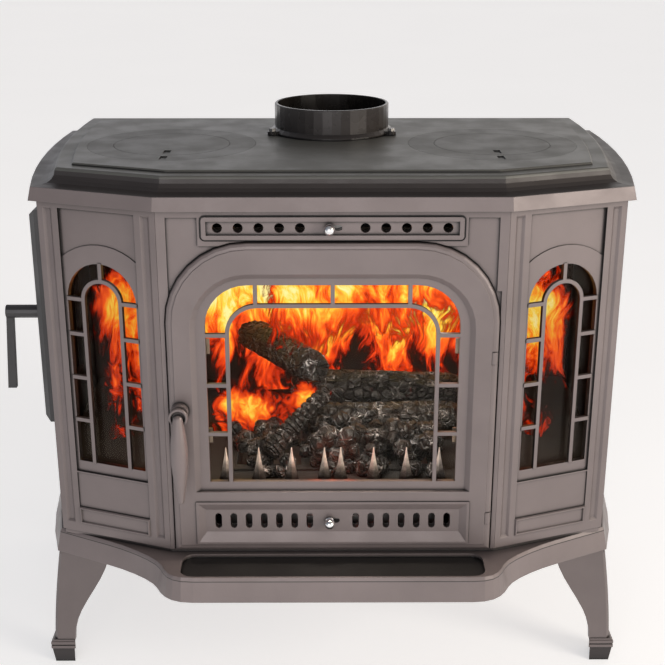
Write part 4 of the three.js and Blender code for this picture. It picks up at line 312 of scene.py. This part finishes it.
# Painted shade in the ash lip's tray.
TRAY_SHADE = linear(40, 38, 37)
# Painted shade on the feet of the legs.
FOOT_SHADE = linear(50, 45, 45)

# Heights in metres, below which a band of another colour begins. The tray's band and the feet's
# band are painted shade; the cove's band is partly painted shade.
TRAY_SHADE_TOP = 0.2115
TRAY_SHADE_FOOT = 0.2105
FOOT_SHADE_TOP = 0.0222
COVE_TOP = 0.7105
COVE_FOOT = 0.6949

paint = cast_paint("satin_stove_paint", BODY)
# The tray's band is painted shade.
base_paint = cast_paint(
    "satin_base_paint", BODY, bands=[(TRAY_SHADE_TOP, TRAY_SHADE), (TRAY_SHADE_FOOT, BODY)], soot=None,
)
# The feet's band is painted shade.
leg_paint = cast_paint(
    "satin_leg_paint", linear(104, 95, 94), bands=[(FOOT_SHADE_TOP, FOOT_SHADE)], soot=None,
)
# The cove's band is partly painted shade; below it the fascia has the body's paint.
plate_paint = cast_paint(
    "satin_plate_paint", linear(88, 88, 84), rough=0.46, spread=0.08,
    bands=[(COVE_TOP, COVE_TONE_AND_SHADE), (COVE_FOOT, BODY)],
)
hob_iron = cast_paint("blackened_hob_iron", linear(80, 80, 76), rough=0.5, spread=0.12, grain=0.35)
collar_paint = cast_paint("satin_collar_paint", linear(50, 46, 45), rough=0.26, grain=0.12)
charcoal = cast_paint("charcoal_paint", linear(58, 57, 58), rough=0.4)
raw_iron = sooty_iron("sooty_cast_iron", (0.012, 0.011, 0.010))
steel = drawn_steel("drawn_steel")
bright = chrome("polished_chrome")
glass = stove_glass("ceramic_glass")
rope = woven_rope("woven_rope")

FINISHES = {
    "stove_paint": paint,
    "top_plate_paint": plate_paint,
    "collar_paint": collar_paint,
    "charcoal_paint": charcoal,
    "hob_iron": hob_iron,
    "raw_iron": raw_iron,
    "steel": steel,
    "chrome_knob": bright,
    "stove_glass": glass,
    "rope": rope,
    "charred_wood": raw_iron,
}
OWN_FINISHES = {"base_plate": base_paint}
for corner in ("front_left", "front_right", "rear_left", "rear_right"):
    OWN_FINISHES["leg_" + corner] = leg_paint


def smoothing(angle):
    """Smooth shading, kept sharp where faces meet at more than an angle in degrees."""
    group = bpy.data.node_groups.new("smooth_by_angle", "GeometryNodeTree")
    group.interface.new_socket("Geometry", in_out="INPUT", socket_type="NodeSocketGeometry")
    group.interface.new_socket("Geometry", in_out="OUTPUT", socket_type="NodeSocketGeometry")
    start = group.nodes.new("NodeGroupInput")
    end = group.nodes.new("NodeGroupOutput")
    faces = group.nodes.new("GeometryNodeSetShadeSmooth")
    edges = group.nodes.new("GeometryNodeSetShadeSmooth")
    edges.domain = "EDGE"
    bend = group.nodes.new("GeometryNodeInputMeshEdgeAngle")
    soft = group.nodes.new("FunctionNodeCompare")
    soft.data_type = "FLOAT"
    soft.operation = "LESS_EQUAL"
    soft.inputs[1].default_value = math.radians(angle)
    link = group.links.new
    link(start.outputs[0], faces.inputs["Geometry"])
    link(faces.outputs[0], edges.inputs["Geometry"])
    link(bend.outputs["Unsigned Angle"], soft.inputs[0])
    link(soft.outputs[0], edges.inputs["Shade Smooth"])
    link(edges.outputs[0], end.inputs[0])
    return group


SMOOTH_ANGLE = 28
smooth_group = smoothing(SMOOTH_ANGLE)


def smooth_by_angle(piece):
    piece.modifiers.new("smooth", "NODES").node_group = smooth_group


slots = {entry["node"]: entry["material_slot"] for entry in frame["record"]["subparts"]}
for node_name, node_object in frame["nodes"].items():
    node_object.data.materials.clear()
    node_object.data.materials.append(OWN_FINISHES.get(node_name, FINISHES[slots[node_name]]))
    smooth_by_angle(node_object)


# ---------------------------------------------------------------- mesh helpers

def piece(name, points, faces, material, body, slot, smooth=True):
    data = bpy.data.meshes.new(name)
    data.from_pydata([tuple(p) for p in points], [], faces)
    data.materials.append(material)
    shape = bmesh.new()
    shape.from_mesh(data)
    bmesh.ops.recalc_face_normals(shape, faces=shape.faces)
    shape.to_mesh(data)
    shape.free()
    made = bpy.data.objects.new(name, data)
    bpy.context.scene.collection.objects.link(made)
    if smooth:
        smooth_by_angle(made)
    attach(made, body)
    return made


def rings_to_faces(rings):
    """Faces between rings of equally many points, closed at both ends."""
    count = len(rings[0])
    points = [p for ring in rings for p in ring]
    faces = []
    for low in range(0, len(points) - count, count):
        high = low + count
        for i in range(count):
            j = (i + 1) % count
            faces.append((low + i, low + j, high + j, high + i))
    faces.append(tuple(range(count))[::-1])
    faces.append(tuple(range(len(points) - count, len(points))))
    return points, faces


def merged(skins):
    """Several skins as one."""
    all_points = []
    all_faces = []
    for points, faces in skins:
        start = len(all_points)
        all_points += points
        all_faces += [tuple(start + v for v in face) for face in faces]
    return all_points, all_faces


AXES = {"X": Vector((1, 0, 0)), "Y": Vector((0, 1, 0)), "Z": Vector((0, 0, 1))}
POINT_RADIUS = 0.01


def revolved(profile, centre, axis, sides=48):
    """A skin turned about Y or Z: (radius, distance along the axis) pairs in mm."""
    along = AXES[axis]
    second = AXES["Z" if axis == "Y" else "Y"]
    rings = []
    for radius, level in profile:
        ring = []
        for i in range(sides):
            angle = 2 * math.pi * i / sides
            side = AXES["X"] * math.cos(angle) + second * math.sin(angle)
            ring.append(centre + (side * max(radius, POINT_RADIUS) + along * level) * MM)
        rings.append(ring)
    return rings_to_faces(rings)


def arc(first, end, half_turn):
    """Angles counted from first up to end, of which half_turn steps make half a turn."""
    return [math.pi * i / half_turn for i in range(first, end)]


# ---------------------------------------------------------------- main door handle

HANDLE_X = -192
HANDLE_Z = 421.5
GRIP_Y = -33.5
GRIP_LENGTH = 117
GRIP_HEAD = 6
GRIP_TIP = 4
GRIP_SWELL = 6
GRIP_CROWN = 4.5
GRIP_STEPS = 48


def grip_radius(t):
    swell = GRIP_SWELL * max(0, math.sin(math.pi * t ** 0.9)) ** 1.1
    return GRIP_HEAD + (GRIP_TIP - GRIP_HEAD) * t + swell


grip_body = GRIP_LENGTH - GRIP_TIP
grip_profile = [(GRIP_HEAD * math.sin(a), GRIP_CROWN * math.cos(a)) for a in arc(0, 8, 16)]
for i in range(GRIP_STEPS + 1):
    grip_profile.append((grip_radius(i / GRIP_STEPS), -grip_body * i / GRIP_STEPS))
for a in arc(1, 7, 12):
    grip_profile.append((GRIP_TIP * math.cos(a), -grip_body - GRIP_TIP * math.sin(a)))
grip_skin = revolved(grip_profile, at(HANDLE_X, GRIP_Y, HANDLE_Z), "Z")
grip = piece("handle_grip", *grip_skin, paint, "fire_door_handle", "stove_paint")
spindle_profile = [
    (0, -29.4), (7.4, -29.4), (8.2, -30.8), (9.4, -31.5), (10.9, -31.5), (11.8, -30.9),
    (12, -30), (12, -27.2), (11.2, -25.9), (9, -25.5), (7.4, -23.5), (6.6, -20),
    (6.4, -18.4), (5, -18.2), (5, 19), (0, 19),
]
spindle_skin = revolved(spindle_profile, at(HANDLE_X, 0, HANDLE_Z), "Y")
spindle = piece("handle_spindle", *spindle_skin, paint, "fire_door_handle", "stove_paint")
spindle.parent = grip
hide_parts("door_handle")


# ---------------------------------------------------------------- air knobs

KNOB_X = -4
KNOB_RADIUS = 7
KNOB_REACH = 10
KNOB_SIDES = 40


def air_knob(name, face, back, z, body, node):
    """A ball on a collared neck: face and back are where its stem leaves and ends, in mm."""
    centre = face - KNOB_REACH
    ball = [(KNOB_RADIUS * math.sin(a), centre - KNOB_RADIUS * math.cos(a)) for a in arc(0, 14, 16)]
    neck = [
        (4.4, centre + 6.2), (4.2, face - 1.4), (5.2, face - 1.2), (5.2, face - 0.3),
        (2.8, face - 0.3), (2.8, back), (0, back),
    ]
    skin = revolved(ball + neck, at(KNOB_X, 0, z), "Y", KNOB_SIDES)
    made = piece(name, *skin, bright, body, "chrome_knob")
    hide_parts(node)


air_knob("upper_knob", 1.5, 14, 655.7, "upper_air_control", "upper_air_knob")
air_knob("lower_knob", -3.5, 6, 264.5, "lower_air_control", "lower_air_knob")


# ---------------------------------------------------------------- log guard

# Heights in metres, between which the spikes turn from dark to bright.
SPIKE_DARK_BELOW = 0.306
SPIKE_BRIGHT_ABOVE = 0.346


def spike_steel(name):
    """Iron brightened toward the points of the spikes, with a painted glow in the same colour."""
    s = Shader(name)
    rise = s.span(s.split("Z"), SPIKE_DARK_BELOW, SPIKE_BRIGHT_ABOVE)
    patches = s.span(s.noise(120, 4), 0.3, 0.7, -0.12, 0.12)
    tone = s.ramp(s.math("ADD", rise, patches), [
        (0.0, (0.010, 0.008, 0.008)), (0.35, (0.09, 0.085, 0.085)),
        (0.75, (0.36, 0.35, 0.36)), (1.0, (0.62, 0.61, 0.62)),
    ])
    skin = s.bump(s.noise(260, 3), 0.3, 0.0006)
    # The emission is a painted glow; the iron is no lamp.
    return s.solid({
        "Base Color": tone, "Roughness": 0.42, "Metallic": 0.4, "Normal": skin,
        "Emission Color": tone, "Emission Strength": 0.28,
    })


GUARD_Y = 28
GUARD_FOOT = 300.3
RAIL_HALF = 151.9
SPIKE_FIRST = 10.7
SPIKE_PITCH = 42.9
SPIKE_XS = [side * (SPIKE_FIRST + SPIKE_PITCH * i) for i in range(4) for side in (-1, 1)]
SPIKE_BASE = 7
SPIKE_RISE = 47
SPIKE_STEPS = 14


def guard_rail():
    section = [(-5, 0), (5, 0), (5, 5.4), (3.6, 7.4), (-3.6, 7.4), (-5, 5.4)]
    ends = (-RAIL_HALF, RAIL_HALF)
    return rings_to_faces([[at(x, GUARD_Y + y, GUARD_FOOT + z) for y, z in section] for x in ends])


def spike(x):
    """A pointed leaf with a ridge, flaring toward its foot."""
    rings = []
    for i in range(SPIKE_STEPS + 1):
        t = i / SPIKE_STEPS
        half = 0.7 + 9 * (1 - t) ** 1.35
        deep = 0.6 + 3 * (1 - t)
        z = GUARD_FOOT + SPIKE_BASE + SPIKE_RISE * t
        corners = ((-1, 0), (0, -1), (1, 0), (0, 1))
        rings.append([at(x + dx * half, GUARD_Y + dy * deep, z) for dx, dy in corners])
    return rings_to_faces(rings)


guard_skin = merged([guard_rail()] + [spike(x) for x in SPIKE_XS])
guard_steel = spike_steel("spike_steel")
guard = piece("spiked_guard", *guard_skin, guard_steel, "stove", "raw_iron", smooth=False)
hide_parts("log_guard")


# ---------------------------------------------------------------- logs, embers and fire

def charred(name):
    """Black charcoal in cracked blocks, with grey edges of ash and painted highlight, and a little
    ember in its cracks.
    """
    s = Shader(name)
    values = {"Vector": s.place, "Scale": 75, "Randomness": 0.85}
    blocks = s.node("TexVoronoi", values, feature="DISTANCE_TO_EDGE")
    ragged = s.math("MULTIPLY", s.noise(110, 4, 0.7), 0.12)
    crack = s.math("ADD", blocks.outputs["Distance"], ragged)
    facing = s.node("SeparateXYZ", {"Vector": s.facing}).outputs["Z"]
    base = s.ramp(s.noise(45, 5, 0.7), [
        (0.35, (0.002, 0.002, 0.002)), (0.6, (0.012, 0.012, 0.012)), (0.8, (0.05, 0.05, 0.05)),
    ])
    # Grey along the crack edges, more on upward faces: partly ash, partly a painted highlight.
    ash_and_highlight = s.math("MULTIPLY", s.span(crack, 0.07, 0.11), s.span(crack, 0.19, 0.12))
    ash_and_highlight = s.math("MULTIPLY", ash_and_highlight, s.span(s.noise(38, 4, 0.65), 0.47, 0.60))
    ash_and_highlight = s.math("MULTIPLY", ash_and_highlight, s.span(facing, -0.3, 0.7, 0.2, 1))
    base = s.mix(ash_and_highlight, base, (0.40, 0.40, 0.41))
    rough = s.math("MULTIPLY", s.noise(200, 4), 0.5)
    skin = s.bump(s.math("ADD", s.span(crack, 0.03, 0.2), rough), 1.0, 0.005)
    glow = s.math("MULTIPLY", s.span(crack, 0.09, 0.05), s.span(s.noise(12, 3), 0.62, 0.72, 0, 1.8))
    return s.solid({
        "Base Color": base, "Roughness": 0.5, "Normal": skin, "Specular IOR Level": 0.45,
        "Emission Color": (1.0, 0.07, 0.008, 1), "Emission Strength": glow,
    })


char = charred("charred_wood")
BED = 303.6
GRATE_HALF = 150
GRATE_FRONT = 70
GRATE_DEPTH = 260
LOG_RADIUS = 33
LOG_TAPER = 0.9
LOG_SIDES = 56
LOG_RINGS = 72


def log_skin(low, high, radius, seed, ribs):
    """A rough burnt log between two points, inside its cylinder; ribs cut it across."""
    offset = Vector((seed * 7.3, seed * 3.1, seed * 5.7))
    axis = high - low
    length = axis.length / MM
    turn = Vector((1, 0, 0)).rotation_difference(axis.normalized())
    skins = []
    for r in range(LOG_RINGS + 1):
        t = r / LOG_RINGS
        x = t * length
        ends = min(1, 0.55 + 6 * min(t, 1 - t)) ** 0.5
        rib = ribs * max(0, math.cos(x * 0.72 + 1.3 * math.sin(x * 0.11))) ** 2
        ring = []
        for i in range(LOG_SIDES):
            angle = 2 * math.pi * i / LOG_SIDES
            side = Vector((0, math.cos(angle), math.sin(angle)))
            where = Vector((x * 0.012, side.y * 1.6, side.z * 1.6)) + offset
            lump = noise.noise(where) * 0.10
            ridge = abs(noise.noise(Vector((x * 0.02, side.y * 5, side.z * 5)) + offset)) * 0.16
            check = max(0, 1 - abs(math.sin(x * 0.13 + 4 * noise.noise(where * 1.4))) * 5) * 0.10
            flake = noise.noise(Vector((x * 0.09, side.y * 9, side.z * 9)) + offset) * 0.05
            bark = 0.93 + lump - ridge - check + flake - rib
            size = radius * (1 - (1 - LOG_TAPER) * t) * ends * bark
            size = min(size, radius * 0.995)
            ring.append(low + (turn @ Vector((x, side.y * size, side.z * size))) * MM)
        skins.append(ring)
    return rings_to_faces(skins)


def on_grate(across, back, up):
    return at(across * GRATE_HALF, GRATE_FRONT + back * GRATE_DEPTH, BED + up * LOG_RADIUS)


LOGS = [
    ("log_1", (-0.4, 0.8, 1), (1.3, 0.76, 1), 1, 0),
    ("log_2", (-0.22, 0.37, 0.85), (1.24, 0.42, 0.85), 0.85, 0.05),
    ("log_3", (-0.58, 0.05, 0.53), (-0.06, 0.28, 2.45), 0.48, 0.22),
    ("log_4", (-0.87, 1.13, 2.87), (-0.12, 0.46, 2.87), 0.84, 0),
]
for seed, (node_name, low, high, thick, ribs) in enumerate(LOGS):
    skin = log_skin(on_grate(*low), on_grate(*high), LOG_RADIUS * thick, seed + 1, ribs)
    burnt = piece("burnt_" + node_name, *skin, char, "stove", "charred_wood")
    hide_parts(node_name)


def lump_skin(centre, size, seed):
    shape = bmesh.new()
    bmesh.ops.create_icosphere(shape, subdivisions=3, radius=1)
    offset = Vector((seed * 2.7, seed * 9.1, seed * 4.3))
    points = []
    for vertex in shape.verts:
        p = vertex.co.copy()
        rough = 1 + 0.28 * noise.noise(p * 1.5 + offset) + 0.14 * noise.noise(p * 4 + offset)
        flat = Vector((round(p.x * 2.2) / 2.2, round(p.y * 2.2) / 2.2, round(p.z * 2.2) / 2.2))
        points.append(centre + Vector(p.lerp(flat, 0.35) * rough) * size * MM)
    faces = [tuple(v.index for v in face.verts) for face in shape.faces]
    shape.free()
    return points, faces


COAL_COUNT = 130
random.seed(11)
lumps = []
for i in range(COAL_COUNT):
    heaped = i % 3 == 0
    x = random.uniform(-20, 145) if heaped else random.uniform(-145, 145)
    y = random.uniform(70, 130) if heaped else random.uniform(46, 200)
    size = random.uniform(8, 15) if heaped else random.uniform(6, 13)
    rise = random.uniform(10, 34) if heaped else 0
    lumps.append(lump_skin(at(x, y, BED + size * 0.72 + rise), size, i))
piece("coals", *merged(lumps), char, "stove", "charred_wood")


def flame_shader(name, rise, span_x, density, seed, strength, top=None, stretch=(20, 20, 7)):
    """Fire on a sheet: bright tongues that thin out to red and then to nothing.

    rise is the height, in metres, over which the fire turns from nothing to full; span_x is
    its middle and half width in mm; top, where given, is the height over which it ends."""
    s = Shader(name)
    bend = s.noise(6, 3, 0.5, turn=(0, 0, seed))
    sway = {0: s.math("MULTIPLY", bend, 0.12), 2: s.math("MULTIPLY", bend, 0.09)}
    moved = s.vector("ADD", s.place, s.node("CombineXYZ", sway).outputs[0])
    mapping = {"Vector": moved, "Scale": stretch, "Location": (seed, 0, seed * 2)}
    tall = s.node("Mapping", mapping).outputs[0]
    broad = s.noise_at(tall, 0.8, 2, 0.5, 1.2)
    thin = s.noise_at(tall, 2.8, 6, 0.66, 2.2)
    streak = s.math("ADD", s.math("MULTIPLY", broad, 0.62), s.math("MULTIPLY", thin, 0.48))
    x = s.math("SUBTRACT", s.split("X"), at(span_x[0], 0, 0).x)
    beside = s.span(s.math("ABSOLUTE", x), span_x[1] * 0.55 * MM, span_x[1] * MM, 0, 1.1)
    heat = s.math("MULTIPLY", s.span(s.split("Z"), rise[0], rise[1], 0, 1, smooth=False), 0.85)
    heat = s.math("ADD", heat, s.math("MULTIPLY", s.math("SUBTRACT", streak, 0.55), 2.7))
    heat = s.math("SUBTRACT", s.math("ADD", heat, density), beside)
    if top:
        heat = s.math("SUBTRACT", heat, s.span(s.split("Z"), top[0], top[1], 0, 1.3))
    colour = s.ramp(heat, [
        (0.0, (0.01, 0.0, 0.0)), (0.20, (0.16, 0.006, 0.001)), (0.36, (0.62, 0.035, 0.004)),
        (0.52, (1.0, 0.13, 0.012)), (0.68, (1.0, 0.38, 0.03)), (0.84, (1.0, 0.75, 0.09)),
        (1.0, (1.0, 0.93, 0.42)),
    ])
    light = s.node("Emission", {"Color": colour, "Strength": strength}).outputs[0]
    clear = s.node("BsdfTransparent").outputs[0]
    shader = s.node("MixShader", {"Fac": s.span(heat, 0.04, 0.30), 1: clear, 2: light}).outputs[0]
    return s.surface(shader)


SHEET_ROWS = 10
SHEET_COLUMNS = 33


def flame_sheet(name, points, low, high, material):
    """An upright curved sheet above a line of points in plan."""
    columns = len(points)
    places = []
    for r in range(SHEET_ROWS + 1):
        t = r / SHEET_ROWS
        for x, y in points:
            sway = 6 * math.sin(x * 0.03 + t * 4)
            places.append(at(x, y + sway * t, low + (high - low) * t))
    faces = []
    for r in range(SHEET_ROWS):
        for i in range(columns - 1):
            a = r * columns + i
            faces.append((a, a + 1, a + columns + 1, a + columns))
    piece(name, places, faces, material, "stove", None)


def sheet_line(start, end, pull=0):
    """Points from one place to another in plan, bowed toward the front at both ends."""
    line = []
    for i in range(SHEET_COLUMNS):
        t = i / (SHEET_COLUMNS - 1)
        x = start[0] + (end[0] - start[0]) * t
        y = start[1] + (end[1] - start[1]) * t
        line.append((x, y - pull * abs(2 * t - 1) ** 3))
    return line


def fire(name, line, low, high, **look):
    flame_sheet(name + "_flames", line, low, high, flame_shader(name + "_fire", **look))


SIDE_FIRE = {
    "rise": (0.26, 0.50), "density": -0.14, "strength": 0.9, "top": (0.50, 0.60),
    "stretch": (24, 24, 9),
}
fire(
    "rear", sheet_line((-330, 350), (330, 350), 90), 306, 606,
    rise=(0.345, 0.465), span_x=(0, 360), density=0.17, seed=1.7, strength=1.25,
)
fire(
    "tongue", sheet_line((-150, 225), (230, 225), 30), 340, 600,
    rise=(0.37, 0.51), span_x=(60, 210), density=-0.22, seed=4.1, strength=1.2,
)
fire(
    "low", sheet_line((-190, 175), (0, 215)), 305, 410,
    rise=(0.27, 0.35), span_x=(-95, 105), density=-0.24, seed=7.7, strength=1.1,
    top=(0.35, 0.41), stretch=(16, 16, 13),
)
fire(
    "left", sheet_line((-340, 150), (-200, 215)), 305, 560,
    span_x=(-230, 125), seed=2.9, **SIDE_FIRE,
)
fire(
    "right", sheet_line((200, 215), (340, 150)), 305, 560,
    span_x=(230, 125), seed=5.3, **SIDE_FIRE,
)


# ---------------------------------------------------------------- floor and light

FLOOR_REACH = 24


def studio_floor():
    s = Shader("pale_floor")
    tone = s.ramp(s.noise(1.5, 2), [(0.3, (0.80, 0.80, 0.80)), (0.7, (0.83, 0.83, 0.83))])
    material = s.solid({
        "Base Color": tone, "Roughness": 0.9, "Specular IOR Level": 0.1,
        "Emission Color": (1, 1, 1, 1), "Emission Strength": 0.5,
    })
    data = bpy.data.meshes.new("floor")
    turns = ((-1, -1), (1, -1), (1, 1), (-1, 1))
    corners = [(x * FLOOR_REACH, y * FLOOR_REACH, 0) for x, y in turns]
    data.from_pydata(corners, [], [(0, 1, 2, 3)])
    data.materials.append(material)
    made = bpy.data.objects.new("floor", data)
    bpy.context.scene.collection.objects.link(made)


studio_floor()


def area_light(name, place, aim, size, power, colour):
    data = bpy.data.lights.new(name, "AREA")
    data.shape = "RECTANGLE"
    data.size, data.size_y = size
    data.energy = power
    data.color = colour
    made = bpy.data.objects.new(name, data)
    made.location = place
    made.rotation_euler = (Vector(aim) - Vector(place)).to_track_quat("-Z", "Y").to_euler()
    bpy.context.scene.collection.objects.link(made)


area_light(
    "key_right", place=(3.0, -2.0, 1.4), aim=(0.1, 0, 0.4), size=(1.4, 1.8),
    power=60, colour=(1, 0.93, 0.84),
)
area_light(
    "front", place=(-0.5, -3.8, 1.0), aim=(0, 0, 0.4), size=(2.4, 1.4),
    power=28, colour=(1, 0.97, 0.97),
)
area_light(
    "log_light", place=at(20, 32, 545), aim=at(20, 130, 330), size=(0.24, 0.02),
    power=1.2, colour=(0.98, 0.99, 1),
)

ember = bpy.data.lights.new("ember", "POINT")
ember.energy = 0.35
ember.color = (1, 0.12, 0.03)
ember.shadow_soft_size = 0.05
ember_place = bpy.data.objects.new("ember", ember)
ember_place.location = at(0, 44, 312)
bpy.context.scene.collection.objects.link(ember_place)


SKY_SIDES = [
    (0.0, (0.20, 0.23, 0.27)),
    (0.4, (0.92, 0.91, 0.94)),
    (0.6, (1.05, 1.02, 1.0)),
    (1.0, (1.10, 0.90, 0.70)),
]
SKY_HEIGHTS = [
    (0.0, (1.05, 1.05, 1.05)),
    (0.3, (1.0, 1.0, 1.0)),
    (0.7, (0.42, 0.42, 0.43)),
    (1.0, (0.22, 0.22, 0.23)),
]


def studio_world():
    """Dim overhead and bright at the horizon, cooler on the left and warmer on the right."""
    world = bpy.data.worlds.new("studio")
    world.use_nodes = True
    nodes = world.node_tree.nodes
    link = world.node_tree.links.new
    split = nodes.new("ShaderNodeSeparateXYZ")
    link(nodes.new("ShaderNodeTexCoord").outputs["Generated"], split.inputs[0])
    across = nodes.new("ShaderNodeMapRange")
    across.inputs["From Min"].default_value = -1
    up = nodes.new("ShaderNodeMapRange")
    up.inputs["From Min"].default_value = -0.2
    link(split.outputs["X"], across.inputs["Value"])
    link(split.outputs["Z"], up.inputs["Value"])
    sides = nodes.new("ShaderNodeValToRGB")
    heights = nodes.new("ShaderNodeValToRGB")
    fill_ramp(sides, SKY_SIDES)
    fill_ramp(heights, SKY_HEIGHTS)
    link(across.outputs[0], sides.inputs[0])
    link(up.outputs[0], heights.inputs[0])
    both = nodes.new("ShaderNodeVectorMath")
    both.operation = "MULTIPLY"
    link(sides.outputs[0], both.inputs[0])
    link(heights.outputs[0], both.inputs[1])
    background = nodes["Background"]
    link(both.outputs[0], background.inputs["Color"])
    background.inputs["Strength"].default_value = 1.0
    bpy.context.scene.world = world


studio_world()
bpy.context.scene.view_settings.view_transform = "Standard"
